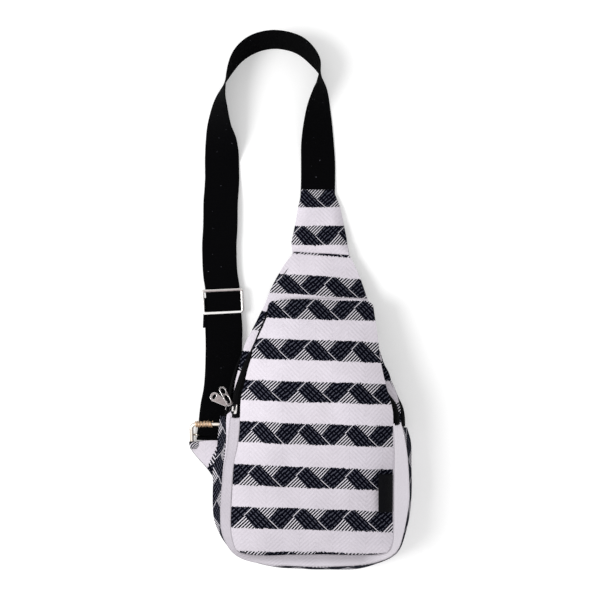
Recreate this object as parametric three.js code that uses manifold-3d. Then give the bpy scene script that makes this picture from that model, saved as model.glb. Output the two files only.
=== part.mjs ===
// A woven sling bag lying on its back, in millimetres.
// +Z is up out of the floor, +Y runs from the bag's bottom to its neck and strap, +X is to the right.
// Every cloth piece is a thin closed sheet, so the two compartments are hollow as on the real bag.
import * as THREE from 'three';
import { mergeVertices } from 'three/addons/utils/BufferGeometryUtils.js';
import Module from 'manifold-3d';

const wasm = await Module();
wasm.setup();

// Cloth and gaps
const CLOTH = 1.2;
const WEBBING = 1.2;
const WEBBING_WIDTH = 38;
const SEAM_GAP = 0.4;
const LAY_GAP = 0.3;

// Main body outline: y of the seams, half widths there, and how the corners round off
const TOP_Y = 51;
const TOP_ROUND = 13;
const SHOULDER_Y = -34;
const HIP_Y = -125;
const WIDE_Y = -190;
const BOTTOM_Y = -291;
const TOP_HALF = 34;
const SHOULDER_HALF = 69;
const HIP_HALF = 97;
const WIDE_HALF = 107;
const BOTTOM_SQUARENESS = 3.5;
const TOP_SQUARENESS = 4;
const AXIS_X = 12.5;
const NECK_SHIFT = 9.5;
const LEAN_FROM_Y = -90;

// Depth of the main compartment, and how its sides are rounded
const MAIN_DEPTH = 41;
const NECK_DEPTH = 18;
const DEPTH_RUN = 170;
const MAIN_CROWN = 4;
const FRONT_LEAN = 3;
const BACK_SEAM_INSET = 17;
const BACK_SEAM_INSET_TOP = 3;
const BACK_SEAM_RISE = 0.12;
const MAIN_GUSSET_BULGE = 12;
const SIDE_GUSSET_BULGE = 3.5;
const FRONT_SEAM_INSET = 6;
const FRONT_SEAM_DROP = 5;
const CROWN_REACH = 26;
const BACK_CURL_REACH = 18;

// Front pocket
const POCKET_TOP_Y = 2;
const POCKET_ROUND = 22;
const POCKET_WIDE_Y = -226;
const POCKET_BOTTOM_Y = -265;
const POCKET_SQUARENESS = 5;
const POCKET_MARGIN_TOP = 6;
const POCKET_MARGIN_LOW = 23.5;
const POCKET_DEPTH_TOP = 15;
const POCKET_DEPTH = 27;
const POCKET_CROWN = 6;
const POCKET_EDGE_DROP = 6;
const POCKET_GUSSET_BULGE = 5;

// Zips
const ZIP_BAND = 10;
const TAPE = 0.7;
const COIL_HALF = 2.3;
const COIL_HEIGHT = 2;
const SLOT = 1.4;
const RUN_ROWS = 4;
const RUN_SEAT = 1.6;
const MAIN_TILT = 1.62;
const MAIN_TILT_LOW = 2.1;
const MAIN_ZIP_LOW_INSET = { left: 5, right: 3 };
const MAIN_ZIP_HEIGHT = 0.55;
const MAIN_ZIP_HEIGHT_LOW = 0.64;
const RUN_END = 12;
const POCKET_TILT = 1.66;
const POCKET_TILT_LOW = { left: 2.5, right: 2.2 };
const POCKET_ZIP_OUT = { left: 7, right: 6.5 };
const POCKET_ZIP_OUT_FROM = { left: 45, right: 92 };
const POCKET_ZIP_OUT_RUN = 40;
const POCKET_ZIP_SEAT = 2.5;
const SLIDER_WIDTH = 7.6;
const SLIDER_LENGTH = 10;
const SLIDER_PLATE = 1;
const SLIDER_WEB = 0.8;
const SLIDER_PARK = 8;
const BRIDGE_WIDTH = 1.6;
const BRIDGE_SPAN = 5;
const BRIDGE_OPENING = 1.9;
const BRIDGE_WALL = 0.9;
const PULL_LENGTH = 25;
const PULL_WIDTH = 9;
const PULL_NECK = 7.6;
const PULL_THICK = 0.8;
const PULL_HOLE_LENGTH = 5;
const PULL_HOLE_WIDTH = 4;
const PULL_EYE_LENGTH = 3.8;
const PULL_EYE_WIDTH = 5.6;
const MAIN_PULL = { yaw: 0.78, lift: 0.8 };
const POCKET_PULL = { yaw: 0.58, lift: 0.2 };

// Stripes of the cloth
const POCKET_BAND_Y = [-9, -53.5, -97, -139.5, -183.5, -225.5];
const POCKET_BAND = 20.5;
const MAIN_BAND_Y = [17, -24, -64.5, -102];
const MAIN_BAND = 20;
const NECK_BAND_Y = [112, 72];
const NECK_BAND = 19;

// Neck piece
const NECK_LENGTH = 70;
const NECK_BOTTOM_Y = TOP_Y + 1;
const NECK_TOP_Y = NECK_BOTTOM_Y + NECK_LENGTH;
const NECK_TOP_HALF = 18.5;
const NECK_BOTTOM_HALF = 31;
const NECK_TAPER = 1.45;
const NECK_BOTTOM_X = 22;
const NECK_TOP_X = 19.5;
const NECK_TOP_DEPTH = 5;
const NECK_BOTTOM_DEPTH = 19;

// Strap: points along its outer edge on the floor, each with its tilt in degrees
const STRAP_ARC = [
  [38.3, 108, 0], [39, 138, 0], [38, 171, 14], [33.5, 210, 44], [30.2, 231, 64], [26.8, 241.5, 76],
  [20.5, 253, 92], [13, 261.6, 100], [1.1, 272, 104], [-11.2, 277.9, 104], [-26.8, 280.6, 104],
  [-41.4, 278.8, 104], [-53.7, 273.9, 103], [-65, 266, 99], [-74, 255.5, 93], [-83.5, 241.5, 82],
  [-95, 222, 64], [-102.2, 197, 43], [-105, 176, 18], [-106, 156, 0],
];
const STRAP_STEPS = 60;
const TUCK_RUN = 12;
const LEG_X = -87;
const LEG_TOP_Y = 105;
const LEG_LOW_Y = -85;
const BUCKLE_X = -100;
const BUCKLE_STRAP_SHIFT = 1;
const BUCKLE_Y = -150;
const UNDER_RUN_TOP_Y = -6;

// Three-bar slide on the strap, and the like buckle at its lower end
const SLIDE_Y = -1;
const SLIDE_BAR_WIDTH = 3;
const SLIDE_BAR = 1.2;
const WIRE = 2.5;
const FRAME_HEIGHT = 25;
const FRAME_CORNER = 2.5;
const RAIL_CLEARANCE = 1.4;
const SEWN_TAIL = 30;
const BUCKLE_TILT = 0.175;
const FRAME_HALF_WIDTH = WEBBING_WIDTH / 2 + RAIL_CLEARANCE + WIRE / 2;
const HEM_CLEARANCE = 0.35;

// Side wing and label
const WING_TUCK = 8;
const WING_TIP_Y = -196;
const WING_TIP_X = -98.5;
const WING_SEAM_RISE = 9.4;
const LABEL_WIDTH = 14;
const LABEL_HEIGHT = 40;
const LABEL_Y = -202;
const LABEL_THICK = 0.8;
const LABEL_OVERHANG = 2;

const OFF_WHITE = 0xddd6e2;
const BAND_DARK = 0x3a3942;
const WEBBING_BLACK = 0x0b0b10;
const TAPE_BLACK = 0x17151a;
const NICKEL = 0xc9c7c4;
const OLD_GOLD = 0xa98f62;

const { clamp, lerp, smoothstep } = THREE.MathUtils;
const vec = (x, y, z) => new THREE.Vector3(x, y, z);

// Materials
const cloth = () => new THREE.MeshStandardMaterial({ color: OFF_WHITE, roughness: 0.95, metalness: 0 });
const stripedCloth = () => (
  new THREE.MeshStandardMaterial({ vertexColors: true, roughness: 0.95, metalness: 0 }));
const darkCloth = () => new THREE.MeshStandardMaterial({ color: BAND_DARK, roughness: 0.95, metalness: 0 });
const webbing = () => new THREE.MeshStandardMaterial({ color: WEBBING_BLACK, roughness: 0.9, metalness: 0 });
const zipTape = () => new THREE.MeshStandardMaterial({ color: TAPE_BLACK, roughness: 0.85, metalness: 0 });
const nickel = () => new THREE.MeshStandardMaterial({ color: NICKEL, roughness: 0.25, metalness: 1 });
const oldGold = () => new THREE.MeshStandardMaterial({ color: OLD_GOLD, roughness: 0.35, metalness: 1 });

// A closed solid between two grids of points, rows by columns, with walls round its edge.
function gridSolid(upper, lower, colourAt) {
  const rows = upper.length;
  const cols = upper[0].length;
  const points = [...upper.flat(), ...lower.flat()];
  const at = (layer, i, j) => layer * rows * cols + i * cols + j;
  const triangles = [];
  const quad = (a, b, c, d) => triangles.push([a, b, c], [a, c, d]);
  for (let i = 0; i < rows - 1; i++) {
    for (let j = 0; j < cols - 1; j++) {
      quad(at(0, i, j), at(0, i, j + 1), at(0, i + 1, j + 1), at(0, i + 1, j));
      quad(at(1, i, j), at(1, i + 1, j), at(1, i + 1, j + 1), at(1, i, j + 1));
    }
    quad(at(0, i, 0), at(0, i + 1, 0), at(1, i + 1, 0), at(1, i, 0));
    quad(at(0, i, cols - 1), at(1, i, cols - 1), at(1, i + 1, cols - 1), at(0, i + 1, cols - 1));
  }
  for (let j = 0; j < cols - 1; j++) {
    quad(at(0, 0, j), at(1, 0, j), at(1, 0, j + 1), at(0, 0, j + 1));
    quad(at(0, rows - 1, j), at(0, rows - 1, j + 1), at(1, rows - 1, j + 1), at(1, rows - 1, j));
  }
  return solidFrom(points, triangles, colourAt);
}

function signedVolume(points, triangles) {
  let volume = 0;
  for (const [a, b, c] of triangles) {
    volume += points[a].dot(vec(0, 0, 0).crossVectors(points[b], points[c])) / 6;
  }
  return volume;
}

// Triangles that closed up to nothing are dropped, and the faces are turned to point out.
function solidFrom(points, triangles, colourAt) {
  const outward = signedVolume(points, triangles) > 0;
  const positions = [];
  const colours = [];
  for (const [a, b, c] of triangles) {
    const corners = [points[a], points[outward ? b : c], points[outward ? c : b]];
    const edge = vec(0, 0, 0).subVectors(corners[1], corners[0]);
    const other = vec(0, 0, 0).subVectors(corners[2], corners[0]);
    if (edge.cross(other).length() < 1e-6) continue;
    const middleY = (corners[0].y + corners[1].y + corners[2].y) / 3;
    for (const corner of corners) {
      positions.push(corner.x, corner.y, corner.z);
      if (colourAt) colours.push(...colourAt(middleY).toArray());
    }
  }
  const geometry = new THREE.BufferGeometry();
  geometry.setAttribute('position', new THREE.Float32BufferAttribute(positions, 3));
  if (colourAt) geometry.setAttribute('color', new THREE.Float32BufferAttribute(colours, 3));
  geometry.computeVertexNormals();
  return geometry;
}

// The grid moved both ways along its own normals makes a sheet of even thickness.
function clothSheet(grid, thickness, colourAt) {
  const normals = grid.map((row, i) => row.map((point, j) => gridNormal(grid, i, j)));
  const moved = (sign) => grid.map((row, i) => row.map((point, j) => (
    point.clone().addScaledVector(normals[i][j], sign * thickness / 2))));
  return gridSolid(moved(1), moved(-1), colourAt);
}

function gridNormal(grid, i, j) {
  const rows = grid.length;
  const cols = grid[0].length;
  const down = vec(0, 0, 0).subVectors(grid[Math.min(i + 1, rows - 1)][j], grid[Math.max(i - 1, 0)][j]);
  const across = vec(0, 0, 0).subVectors(grid[i][Math.min(j + 1, cols - 1)], grid[i][Math.max(j - 1, 0)]);
  return down.cross(across).normalize();
}

function bands(centres, height) {
  const dark = new THREE.Color(BAND_DARK);
  const light = new THREE.Color(OFF_WHITE);
  return (y) => (centres.some((centre) => Math.abs(y - centre) < height / 2) ? dark : light);
}

function toManifold(geometry) {
  const bare = geometry.clone();
  for (const name of Object.keys(bare.attributes)) {
    if (name !== 'position') bare.deleteAttribute(name);
  }
  const merged = mergeVertices(bare, 1e-4);
  return new wasm.Manifold(new wasm.Mesh({
    numProp: 3,
    vertProperties: new Float32Array(merged.attributes.position.array),
    triVerts: new Uint32Array(merged.index.array),
  }));
}

function fromManifold(solid) {
  const mesh = solid.getMesh();
  const geometry = new THREE.BufferGeometry();
  geometry.setAttribute('position', new THREE.Float32BufferAttribute(mesh.vertProperties, 3));
  geometry.setIndex([...mesh.triVerts]);
  geometry.computeVertexNormals();
  return geometry;
}

// Half width, centre line and depth of the main body at each y
function rounding(y, from, to, squareness) {
  const share = clamp((y - from) / (to - from), 0, 1);
  return (1 - share ** squareness) ** (1 / squareness);
}

const bodyStations = new THREE.CatmullRomCurve3([
  vec(TOP_HALF, TOP_Y, 0),
  vec(SHOULDER_HALF, SHOULDER_Y, 0),
  vec(HIP_HALF, HIP_Y, 0),
  vec(WIDE_HALF, WIDE_Y, 0),
]).getPoints(60);

function bodyHalf(y) {
  const next = Math.max(1, bodyStations.findIndex((station) => station.y < y));
  const a = bodyStations[next - 1];
  const b = bodyStations[next];
  const side = y <= WIDE_Y ? WIDE_HALF : lerp(a.x, b.x, clamp((a.y - y) / (a.y - b.y), 0, 1));
  return side * rounding(y, WIDE_Y, BOTTOM_Y, BOTTOM_SQUARENESS)
    * rounding(y, TOP_Y - TOP_ROUND, TOP_Y, TOP_SQUARENESS);
}

const axisX = (y) => AXIS_X + NECK_SHIFT * smoothstep(y, LEAN_FROM_Y, NECK_BOTTOM_Y);

function mainDepth(y) {
  const share = clamp((TOP_Y - y) / DEPTH_RUN, 0, 1);
  return lerp(NECK_DEPTH, MAIN_DEPTH, Math.sin(share * Math.PI / 2));
}

const lean = (z) => FRONT_LEAN * z / (MAIN_DEPTH + POCKET_DEPTH);

function pocketHalf(y) {
  const low = smoothstep(-y, POCKET_ROUND, -WIDE_Y - POCKET_ROUND);
  const margin = lerp(POCKET_MARGIN_TOP, POCKET_MARGIN_LOW, low);
  const side = bodyHalf(clamp(y, POCKET_WIDE_Y, POCKET_TOP_Y - POCKET_ROUND)) - margin;
  return side * rounding(y, POCKET_WIDE_Y, POCKET_BOTTOM_Y, POCKET_SQUARENESS)
    * rounding(y, POCKET_TOP_Y - POCKET_ROUND, POCKET_TOP_Y, TOP_SQUARENESS);
}

function pocketDepth(y) {
  return lerp(POCKET_DEPTH_TOP, POCKET_DEPTH, smoothstep(POCKET_TOP_Y - y, 0, POCKET_TOP_Y - HIP_Y));
}

// Rows of y from the top edge down: a rounded top, the zipped sides, the plain sides, a rounded bottom.
const ROUND_END = 1.4;
const TOP_ROWS = 3;
const SIDE_ROWS = 13;
const PLAIN_ROWS = 4;
const BOTTOM_ROWS = 8;

function rowsBetween(top, topRound, side, wide, bottom) {
  const rows = [];
  for (let i = TOP_ROWS; i > 0; i--) {
    rows.push(top - topRound + topRound * Math.sin(ROUND_END * i / TOP_ROWS));
  }
  for (let i = 0; i < SIDE_ROWS; i++) rows.push(lerp(top - topRound, side, i / SIDE_ROWS));
  for (let i = 0; i < PLAIN_ROWS; i++) rows.push(lerp(side, wide, i / PLAIN_ROWS));
  for (let i = 0; i <= BOTTOM_ROWS; i++) {
    rows.push(wide + (bottom - wide) * Math.sin(ROUND_END * i / BOTTOM_ROWS));
  }
  return rows;
}

const SPLIT = TOP_ROWS + SIDE_ROWS;
const bodyRows = rowsBetween(TOP_Y, TOP_ROUND, HIP_Y, WIDE_Y, BOTTOM_Y);
const pocketRows = rowsBetween(POCKET_TOP_Y, POCKET_ROUND, HIP_Y, POCKET_WIDE_Y, POCKET_BOTTOM_Y);
const LAST = bodyRows.length - 1;
const COLUMNS = 12;
const STRIP_START = 0.12;

// One side of an outline: its edge points, and the plan direction that points out of the cloth there.
function sideOf(rows, half, side) {
  const edge = rows.map((y) => vec(axisX(y) + side * half(y), y, 0));
  return edge.map((point, i) => {
    const before = i > 0 ? edge[i - 1] : vec(axisX(rows[0]), rows[0], 0);
    const after = i < rows.length - 1 ? edge[i + 1] : vec(axisX(rows[i]), rows[i], 0);
    const run = vec(0, 0, 0).subVectors(after, before).normalize();
    return { point, out: vec(-side * run.y, side * run.x, 0) };
  });
}

// A point beside an edge station, moved in by the inset and up to z.
function station(edge, inset, z) {
  const moved = edge.point.clone().addScaledVector(edge.out, -inset);
  return vec(moved.x + lean(z), moved.y, z);
}

const bodySides = { left: sideOf(bodyRows, bodyHalf, -1), right: sideOf(bodyRows, bodyHalf, 1) };
const pocketSides = { left: sideOf(pocketRows, pocketHalf, -1), right: sideOf(pocketRows, pocketHalf, 1) };

// Across a row the points are even, from one side's point to the other's.
function acrossRow(left, right, shape) {
  return Array.from({ length: COLUMNS + 1 }, (unused, j) => {
    const point = left.clone().lerp(right, j / COLUMNS);
    return shape ? shape(point) : point;
  });
}

// A strip that follows an edge down the left, across the bottom and up the right.
function roundBottom(left, right) {
  const firstLeft = left[SPLIT].map((point, k) => point.clone().lerp(left[SPLIT + 1][k], STRIP_START));
  const firstRight = right[SPLIT].map((point, k) => point.clone().lerp(right[SPLIT + 1][k], STRIP_START));
  const down = [firstLeft, ...left.slice(SPLIT + 1)];
  const up = [firstRight, ...right.slice(SPLIT + 1)].reverse();
  const middle = acrossStations(down[down.length - 1], up[0]);
  return [...down, ...middle, ...up];
}

function acrossStations(left, right) {
  return Array.from({ length: COLUMNS - 1 }, (unused, j) => (
    left.map((point, k) => point.clone().lerp(right[k], (j + 1) / COLUMNS))));
}

// Zip lines. Each station has a centre, the direction across the tape and the direction off its face.
function zipStation(centre, out, tilt) {
  const across = out.clone().multiplyScalar(Math.cos(tilt)).add(vec(0, 0, Math.sin(tilt)));
  const face = out.clone().multiplyScalar(Math.sin(tilt)).add(vec(0, 0, -Math.cos(tilt)));
  return { centre, across, face };
}

function straightened(stations, side) {
  const start = stations[SPLIT].centre;
  const end = stations[SPLIT - RUN_ROWS].centre;
  const run = vec(0, 0, 0).subVectors(end, start).normalize();
  const flat = vec(run.x, run.y, 0).normalize();
  const out = vec(side * flat.y, -side * flat.x, 0);
  return stations.map((stationHere, i) => {
    if (i < SPLIT - RUN_ROWS || i > SPLIT) return stationHere;
    const centre = start.clone().lerp(end, (SPLIT - i) / RUN_ROWS);
    const tilt = stations[SPLIT].tilt;
    const across = out.clone().multiplyScalar(Math.cos(tilt)).add(vec(0, 0, Math.sin(tilt)));
    across.addScaledVector(run, -across.dot(run)).normalize();
    const face = vec(0, 0, 0).crossVectors(across, run).multiplyScalar(-side);
    return { centre, across, face, run, tilt };
  });
}


const towardsHip = (y) => smoothstep(-y, -SHOULDER_Y, -HIP_Y - RUN_END);
const mainZipTilt = (y) => lerp(MAIN_TILT, MAIN_TILT_LOW, towardsHip(y));
const mainZipZ = (y) => mainDepth(y) * lerp(MAIN_ZIP_HEIGHT, MAIN_ZIP_HEIGHT_LOW, towardsHip(y));

function mainZip(sideName) {
  const side = sideName === 'left' ? -1 : 1;
  const stations = bodySides[sideName].map((edge, i) => {
    const y = bodyRows[i];
    const tilt = mainZipTilt(y);
    const inset = lerp(1, MAIN_ZIP_LOW_INSET[sideName], towardsHip(y));
    return { ...zipStation(station(edge, inset, mainZipZ(y)), edge.out, tilt), tilt };
  });
  return straightened(stations, side);
}

// Height of the main front panel: its sewn edge, and its crown away from that edge.
function mainFrontEdgeZ(y) {
  const beside = mainZipZ(y) + Math.sin(mainZipTilt(y)) * (ZIP_BAND / 2 + SEAM_GAP + CLOTH / 2);
  const below = mainDepth(y) - FRONT_SEAM_DROP;
  return y >= HIP_Y ? beside : lerp(beside, below, smoothstep(HIP_Y - y, 0, RUN_END));
}

function crownShare(x, y, half, topY, bottomY) {
  const sideShare = clamp((half(y) - Math.abs(x - axisX(y) - lean(mainDepth(y)))) / CROWN_REACH, 0, 1);
  const endShare = clamp(Math.min(topY - y, y - bottomY) / CROWN_REACH, 0, 1);
  return (1 - (1 - sideShare) ** 2) * (1 - (1 - endShare) ** 2);
}

function mainFrontZ(x, y) {
  const edgeZ = mainFrontEdgeZ(y);
  return lerp(edgeZ, mainDepth(y) + MAIN_CROWN, crownShare(x, y, bodyHalf, TOP_Y, BOTTOM_Y));
}


function pocketZip(sideName) {
  const side = sideName === 'left' ? -1 : 1;
  const from = POCKET_ZIP_OUT_FROM[sideName];
  const stations = pocketSides[sideName].map((edge, i) => {
    const y = pocketRows[i];
    const low = smoothstep(-y, from, Math.min(from + POCKET_ZIP_OUT_RUN, -HIP_Y));
    const tilt = lerp(POCKET_TILT, POCKET_TILT_LOW[sideName], low);
    const out = lerp(1, POCKET_ZIP_OUT[sideName], low);
    const foot = station(edge, -out + Math.cos(tilt) * ZIP_BAND / 2, mainDepth(y));
    const footX = i < TOP_ROWS ? axisX(y) : foot.x;
    const seat = i >= SPLIT - RUN_ROWS ? RUN_SEAT + POCKET_ZIP_SEAT : POCKET_ZIP_SEAT;
    const height = mainFrontZ(footX, foot.y) + seat + Math.sin(tilt) * ZIP_BAND / 2;
    return { ...zipStation(station(edge, -out, height), edge.out, tilt), tilt };
  });
  return straightened(stations, side);
}

const zips = {
  main: { left: mainZip('left'), right: mainZip('right') },
  pocket: { left: pocketZip('left'), right: pocketZip('right') },
};

const zipEdge = (place, offset) => place.centre.clone().addScaledVector(place.across, offset);
const TAPE_EDGE = ZIP_BAND / 2;
const EDGE_GAP = SEAM_GAP + CLOTH / 2;

// The arch of a zip: up the left side, over the top edge and down the right side.
function arch(left, right, pointsAt) {
  const up = left.slice(0, SPLIT + 1).reverse().map(pointsAt);
  const down = right.slice(0, SPLIT + 1).map(pointsAt);
  return [...up, ...acrossStations(up[up.length - 1], down[0]), ...down];
}

// A stringer is one tape with its half of the coil: thick beside the slot, thin to its sewn edge.
function stringer(zip, direction) {
  const profile = [
    [SLOT / 2, COIL_HEIGHT / 2],
    [COIL_HALF, COIL_HEIGHT / 2],
    [COIL_HALF + 0.5, TAPE / 2],
    [TAPE_EDGE, TAPE / 2],
  ];
  const layer = (sign) => arch(zip.left, zip.right, (here) => profile.map(([across, up]) => (
    zipEdge(here, direction * across).addScaledVector(here.face, sign * up))));
  return gridSolid(layer(1), layer(-1));
}

// Panels
function crowned(left, right, rows, half, crownZ, topY, bottomY) {
  return rows.map((y, i) => acrossRow(left[i], right[i], (point) => {
    const share = crownShare(point.x, point.y, half, topY, bottomY);
    return point.setZ(lerp(point.z, crownZ(y), share));
  }));
}

function mainFrontEdge(sideName, i) {
  const y = bodyRows[i];
  if (i <= SPLIT) return zipEdge(zips.main[sideName][i], TAPE_EDGE + EDGE_GAP);
  return station(bodySides[sideName][i], FRONT_SEAM_INSET, mainFrontEdgeZ(y));
}

const mainFrontLeft = bodyRows.map((y, i) => mainFrontEdge('left', i));
const mainFrontRight = bodyRows.map((y, i) => mainFrontEdge('right', i));
const mainCrownZ = (y) => mainDepth(y) + MAIN_CROWN;

function mainFrontPanel() {
  const grid = crowned(mainFrontLeft, mainFrontRight, bodyRows, bodyHalf, mainCrownZ, TOP_Y, BOTTOM_Y);
  return clothSheet(grid, CLOTH, bands(MAIN_BAND_Y, MAIN_BAND));
}

const backInset = (y) => (
  lerp(BACK_SEAM_INSET, BACK_SEAM_INSET_TOP, smoothstep(y, SHOULDER_Y, TOP_Y - TOP_ROUND)));

function backPanel() {
  const edge = (sideName) => bodySides[sideName].map((here, i) => (
    station(here, backInset(bodyRows[i]) + SEAM_GAP, 0)));
  const left = edge('left');
  const right = edge('right');
  const surface = (lift) => bodyRows.map((y, i) => acrossRow(left[i], right[i], (point) => {
    const side = Math.min(point.x - left[i].x, right[i].x - point.x);
    const end = Math.min(left[0].y - y, y - left[LAST].y) + 1;
    const share = 1 - clamp(Math.min(side, end) / BACK_CURL_REACH, 0, 1);
    return point.setZ(lift + mainDepth(y) * BACK_SEAM_RISE * share ** 2);
  }));
  return gridSolid(surface(CLOTH), surface(0), bands(MAIN_BAND_Y, MAIN_BAND));
}

const backSeamZ = (y) => mainDepth(y) * BACK_SEAM_RISE + CLOTH + SEAM_GAP;
const GUSSET_STEPS = 4;

// The side of the main body bulges from the back seam out to its widest and in again.
function bulged(from, to, out, bulge, steps) {
  return Array.from({ length: steps + 1 }, (unused, k) => {
    const share = k / steps;
    return from.clone().lerp(to, share).addScaledVector(out, bulge * Math.sin(Math.PI * share));
  });
}

function mainBottomGusset() {
  const section = (sideName) => bodySides[sideName].map((edge, i) => {
    const y = bodyRows[i];
    const from = station(edge, backInset(y) - SEAM_GAP, backSeamZ(y));
    const top = station(edge, FRONT_SEAM_INSET, mainFrontEdgeZ(y) - CLOTH - SEAM_GAP);
    return bulged(from, top, edge.out, MAIN_GUSSET_BULGE, GUSSET_STEPS);
  });
  return clothSheet(roundBottom(section('left'), section('right')), CLOTH);
}

function mainSideGusset() {
  const section = (sideName) => bodySides[sideName].map((edge, i) => {
    const from = station(edge, backInset(bodyRows[i]) - SEAM_GAP, backSeamZ(bodyRows[i]));
    const top = zipEdge(zips.main[sideName][i], -TAPE_EDGE - EDGE_GAP);
    return bulged(from, top, edge.out, SIDE_GUSSET_BULGE, GUSSET_STEPS);
  });
  return clothSheet(arch(section('left'), section('right'), (points) => points), CLOTH);
}

const pocketEdgeZ = (y) => mainDepth(y) + pocketDepth(y) - POCKET_EDGE_DROP;
const pocketCrownZ = (y) => mainDepth(y) + pocketDepth(y) + POCKET_CROWN;

function pocketPanelEdge(sideName, i) {
  if (i <= SPLIT) return zipEdge(zips.pocket[sideName][i], TAPE_EDGE + EDGE_GAP);
  return station(pocketSides[sideName][i], SEAM_GAP, pocketEdgeZ(pocketRows[i]));
}

function pocketBottomGusset() {
  const section = (sideName) => pocketSides[sideName].map((edge, i) => {
    const body = bodySides[sideName][i];
    const y = bodyRows[i];
    const low = station(body, FRONT_SEAM_INSET + 2, mainDepth(y));
    low.z = mainFrontZ(low.x, low.y) + CLOTH + LAY_GAP;
    const high = pocketPanelEdge(sideName, i).addScaledVector(edge.out, 2 * SEAM_GAP);
    high.z -= CLOTH + SEAM_GAP;
    return bulged(low, high, body.out, POCKET_GUSSET_BULGE, GUSSET_STEPS);
  });
  return clothSheet(roundBottom(section('left'), section('right')), CLOTH);
}

// The pocket's front wraps round its edge and down to the zip.
function pocketFrontPanel() {
  const left = pocketRows.map((y, i) => pocketPanelEdge('left', i));
  const right = pocketRows.map((y, i) => pocketPanelEdge('right', i));
  const grid = crowned(left, right, pocketRows, pocketHalf, pocketCrownZ, POCKET_TOP_Y, POCKET_BOTTOM_Y);
  return clothSheet(grid, CLOTH, bands(POCKET_BAND_Y, POCKET_BAND));
}

// Sliders and pulls. X is across the tape, Y along the zip and Z off its face.
const SLIDER_TOP = COIL_HEIGHT / 2 + LAY_GAP + SLIDER_PLATE;
const PIVOT_Z = SLIDER_TOP + BRIDGE_OPENING / 2;

function alongY(shape, length) {
  const geometry = new THREE.ExtrudeGeometry(shape, { depth: length, bevelEnabled: false });
  return geometry.rotateX(Math.PI / 2).translate(0, length / 2, 0);
}

function polygon(points) {
  return new THREE.Shape(points.map(([x, y]) => new THREE.Vector2(x, y)));
}

function sliderBody() {
  const wide = SLIDER_WIDTH / 2;
  const thin = SLIDER_WEB / 2;
  const flange = COIL_HALF + 0.5 + LAY_GAP;
  const low = TAPE / 2 + LAY_GAP;
  const under = COIL_HEIGHT / 2 + LAY_GAP;
  const quarter = [[thin, under], [flange, under], [flange, low], [wide, low], [wide, SLIDER_TOP]];
  const right = [...quarter.map(([x, z]) => [x, -z]).reverse(), ...quarter];
  const left = right.map(([x, z]) => [-x, z]).reverse();
  const prism = toManifold(alongY(polygon([...right, ...left]), SLIDER_LENGTH));
  const outline = new THREE.Shape();
  const half = SLIDER_LENGTH / 2;
  outline.moveTo(-wide * 0.7, -half);
  outline.lineTo(wide * 0.7, -half);
  outline.quadraticCurveTo(wide, -half, wide, -half * 0.4);
  outline.lineTo(wide, half * 0.7);
  outline.quadraticCurveTo(wide, half, wide * 0.6, half);
  outline.lineTo(-wide * 0.6, half);
  outline.quadraticCurveTo(-wide, half, -wide, half * 0.7);
  outline.lineTo(-wide, -half * 0.4);
  outline.quadraticCurveTo(-wide, -half, -wide * 0.7, -half);
  const depth = 4 * SLIDER_TOP;
  const trim = new THREE.ExtrudeGeometry(outline, { depth, bevelEnabled: false, curveSegments: 4 });
  trim.translate(0, 0, -depth / 2);
  const bridge = toManifold(bridgeArch());
  return fromManifold(prism.intersect(toManifold(trim)).add(bridge));
}

function bridgeArch() {
  const half = BRIDGE_SPAN / 2;
  const inner = half - BRIDGE_WALL;
  const base = SLIDER_TOP - SLIDER_PLATE / 2;
  const top = SLIDER_TOP + BRIDGE_OPENING;
  const corner = BRIDGE_WALL * 0.6;
  const shape = polygon([
    [-half, base], [-inner, base], [-inner, top], [inner, top], [inner, base], [half, base],
    [half, top + BRIDGE_WALL - corner], [half - corner, top + BRIDGE_WALL],
    [corner - half, top + BRIDGE_WALL], [-half, top + BRIDGE_WALL - corner],
  ]);
  const geometry = new THREE.ExtrudeGeometry(shape, { depth: BRIDGE_WIDTH, bevelEnabled: false });
  geometry.translate(0, 0, -BRIDGE_WIDTH / 2);
  return geometry.rotateX(Math.PI / 2).rotateZ(Math.PI / 2);
}

// The pull turns on the bar at its eye: the origin is the middle of that bar.
function pullTab() {
  const bar = PULL_THICK / 2;
  const neck = PULL_NECK / 2;
  const wide = PULL_WIDTH / 2;
  const end = PULL_LENGTH - bar;
  const shape = new THREE.Shape();
  shape.moveTo(-neck, -bar);
  shape.lineTo(neck, -bar);
  shape.lineTo(neck, PULL_EYE_LENGTH + bar * 2);
  shape.lineTo(wide, end - wide);
  shape.absarc(0, end - wide, wide, 0, Math.PI, false);
  shape.lineTo(-neck, PULL_EYE_LENGTH + bar * 2);
  const eye = new THREE.Path();
  const eyeHalf = PULL_EYE_WIDTH / 2;
  eye.moveTo(-eyeHalf, bar);
  eye.lineTo(-eyeHalf, bar + PULL_EYE_LENGTH);
  eye.lineTo(eyeHalf, bar + PULL_EYE_LENGTH);
  eye.lineTo(eyeHalf, bar);
  const hole = new THREE.Path();
  const holeY = end - wide;
  hole.absellipse(0, holeY, PULL_HOLE_WIDTH / 2, PULL_HOLE_LENGTH / 2, 0, Math.PI * 2, true);
  shape.holes.push(eye, hole);
  const options = { depth: PULL_THICK, bevelEnabled: false, curveSegments: 10 };
  return new THREE.ExtrudeGeometry(shape, options).translate(0, 0, -PULL_THICK / 2);
}

function addSlider(group, name, zip, pull) {
  const here = zip.left[SPLIT];
  const holder = new THREE.Group();
  holder.position.copy(here.centre).addScaledVector(here.run, SLIDER_PARK);
  const basis = new THREE.Matrix4().makeBasis(here.across, here.run, here.face);
  holder.quaternion.setFromRotationMatrix(basis);
  addMesh(holder, `${name}_slider`, sliderBody(), nickel());
  const tab = addMesh(holder, `${name}_pull`, pullTab(), nickel());
  tab.position.z = PIVOT_Z;
  tab.rotation.set(pull.lift, 0, pull.yaw, 'ZXY');
  group.add(holder);
}

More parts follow.
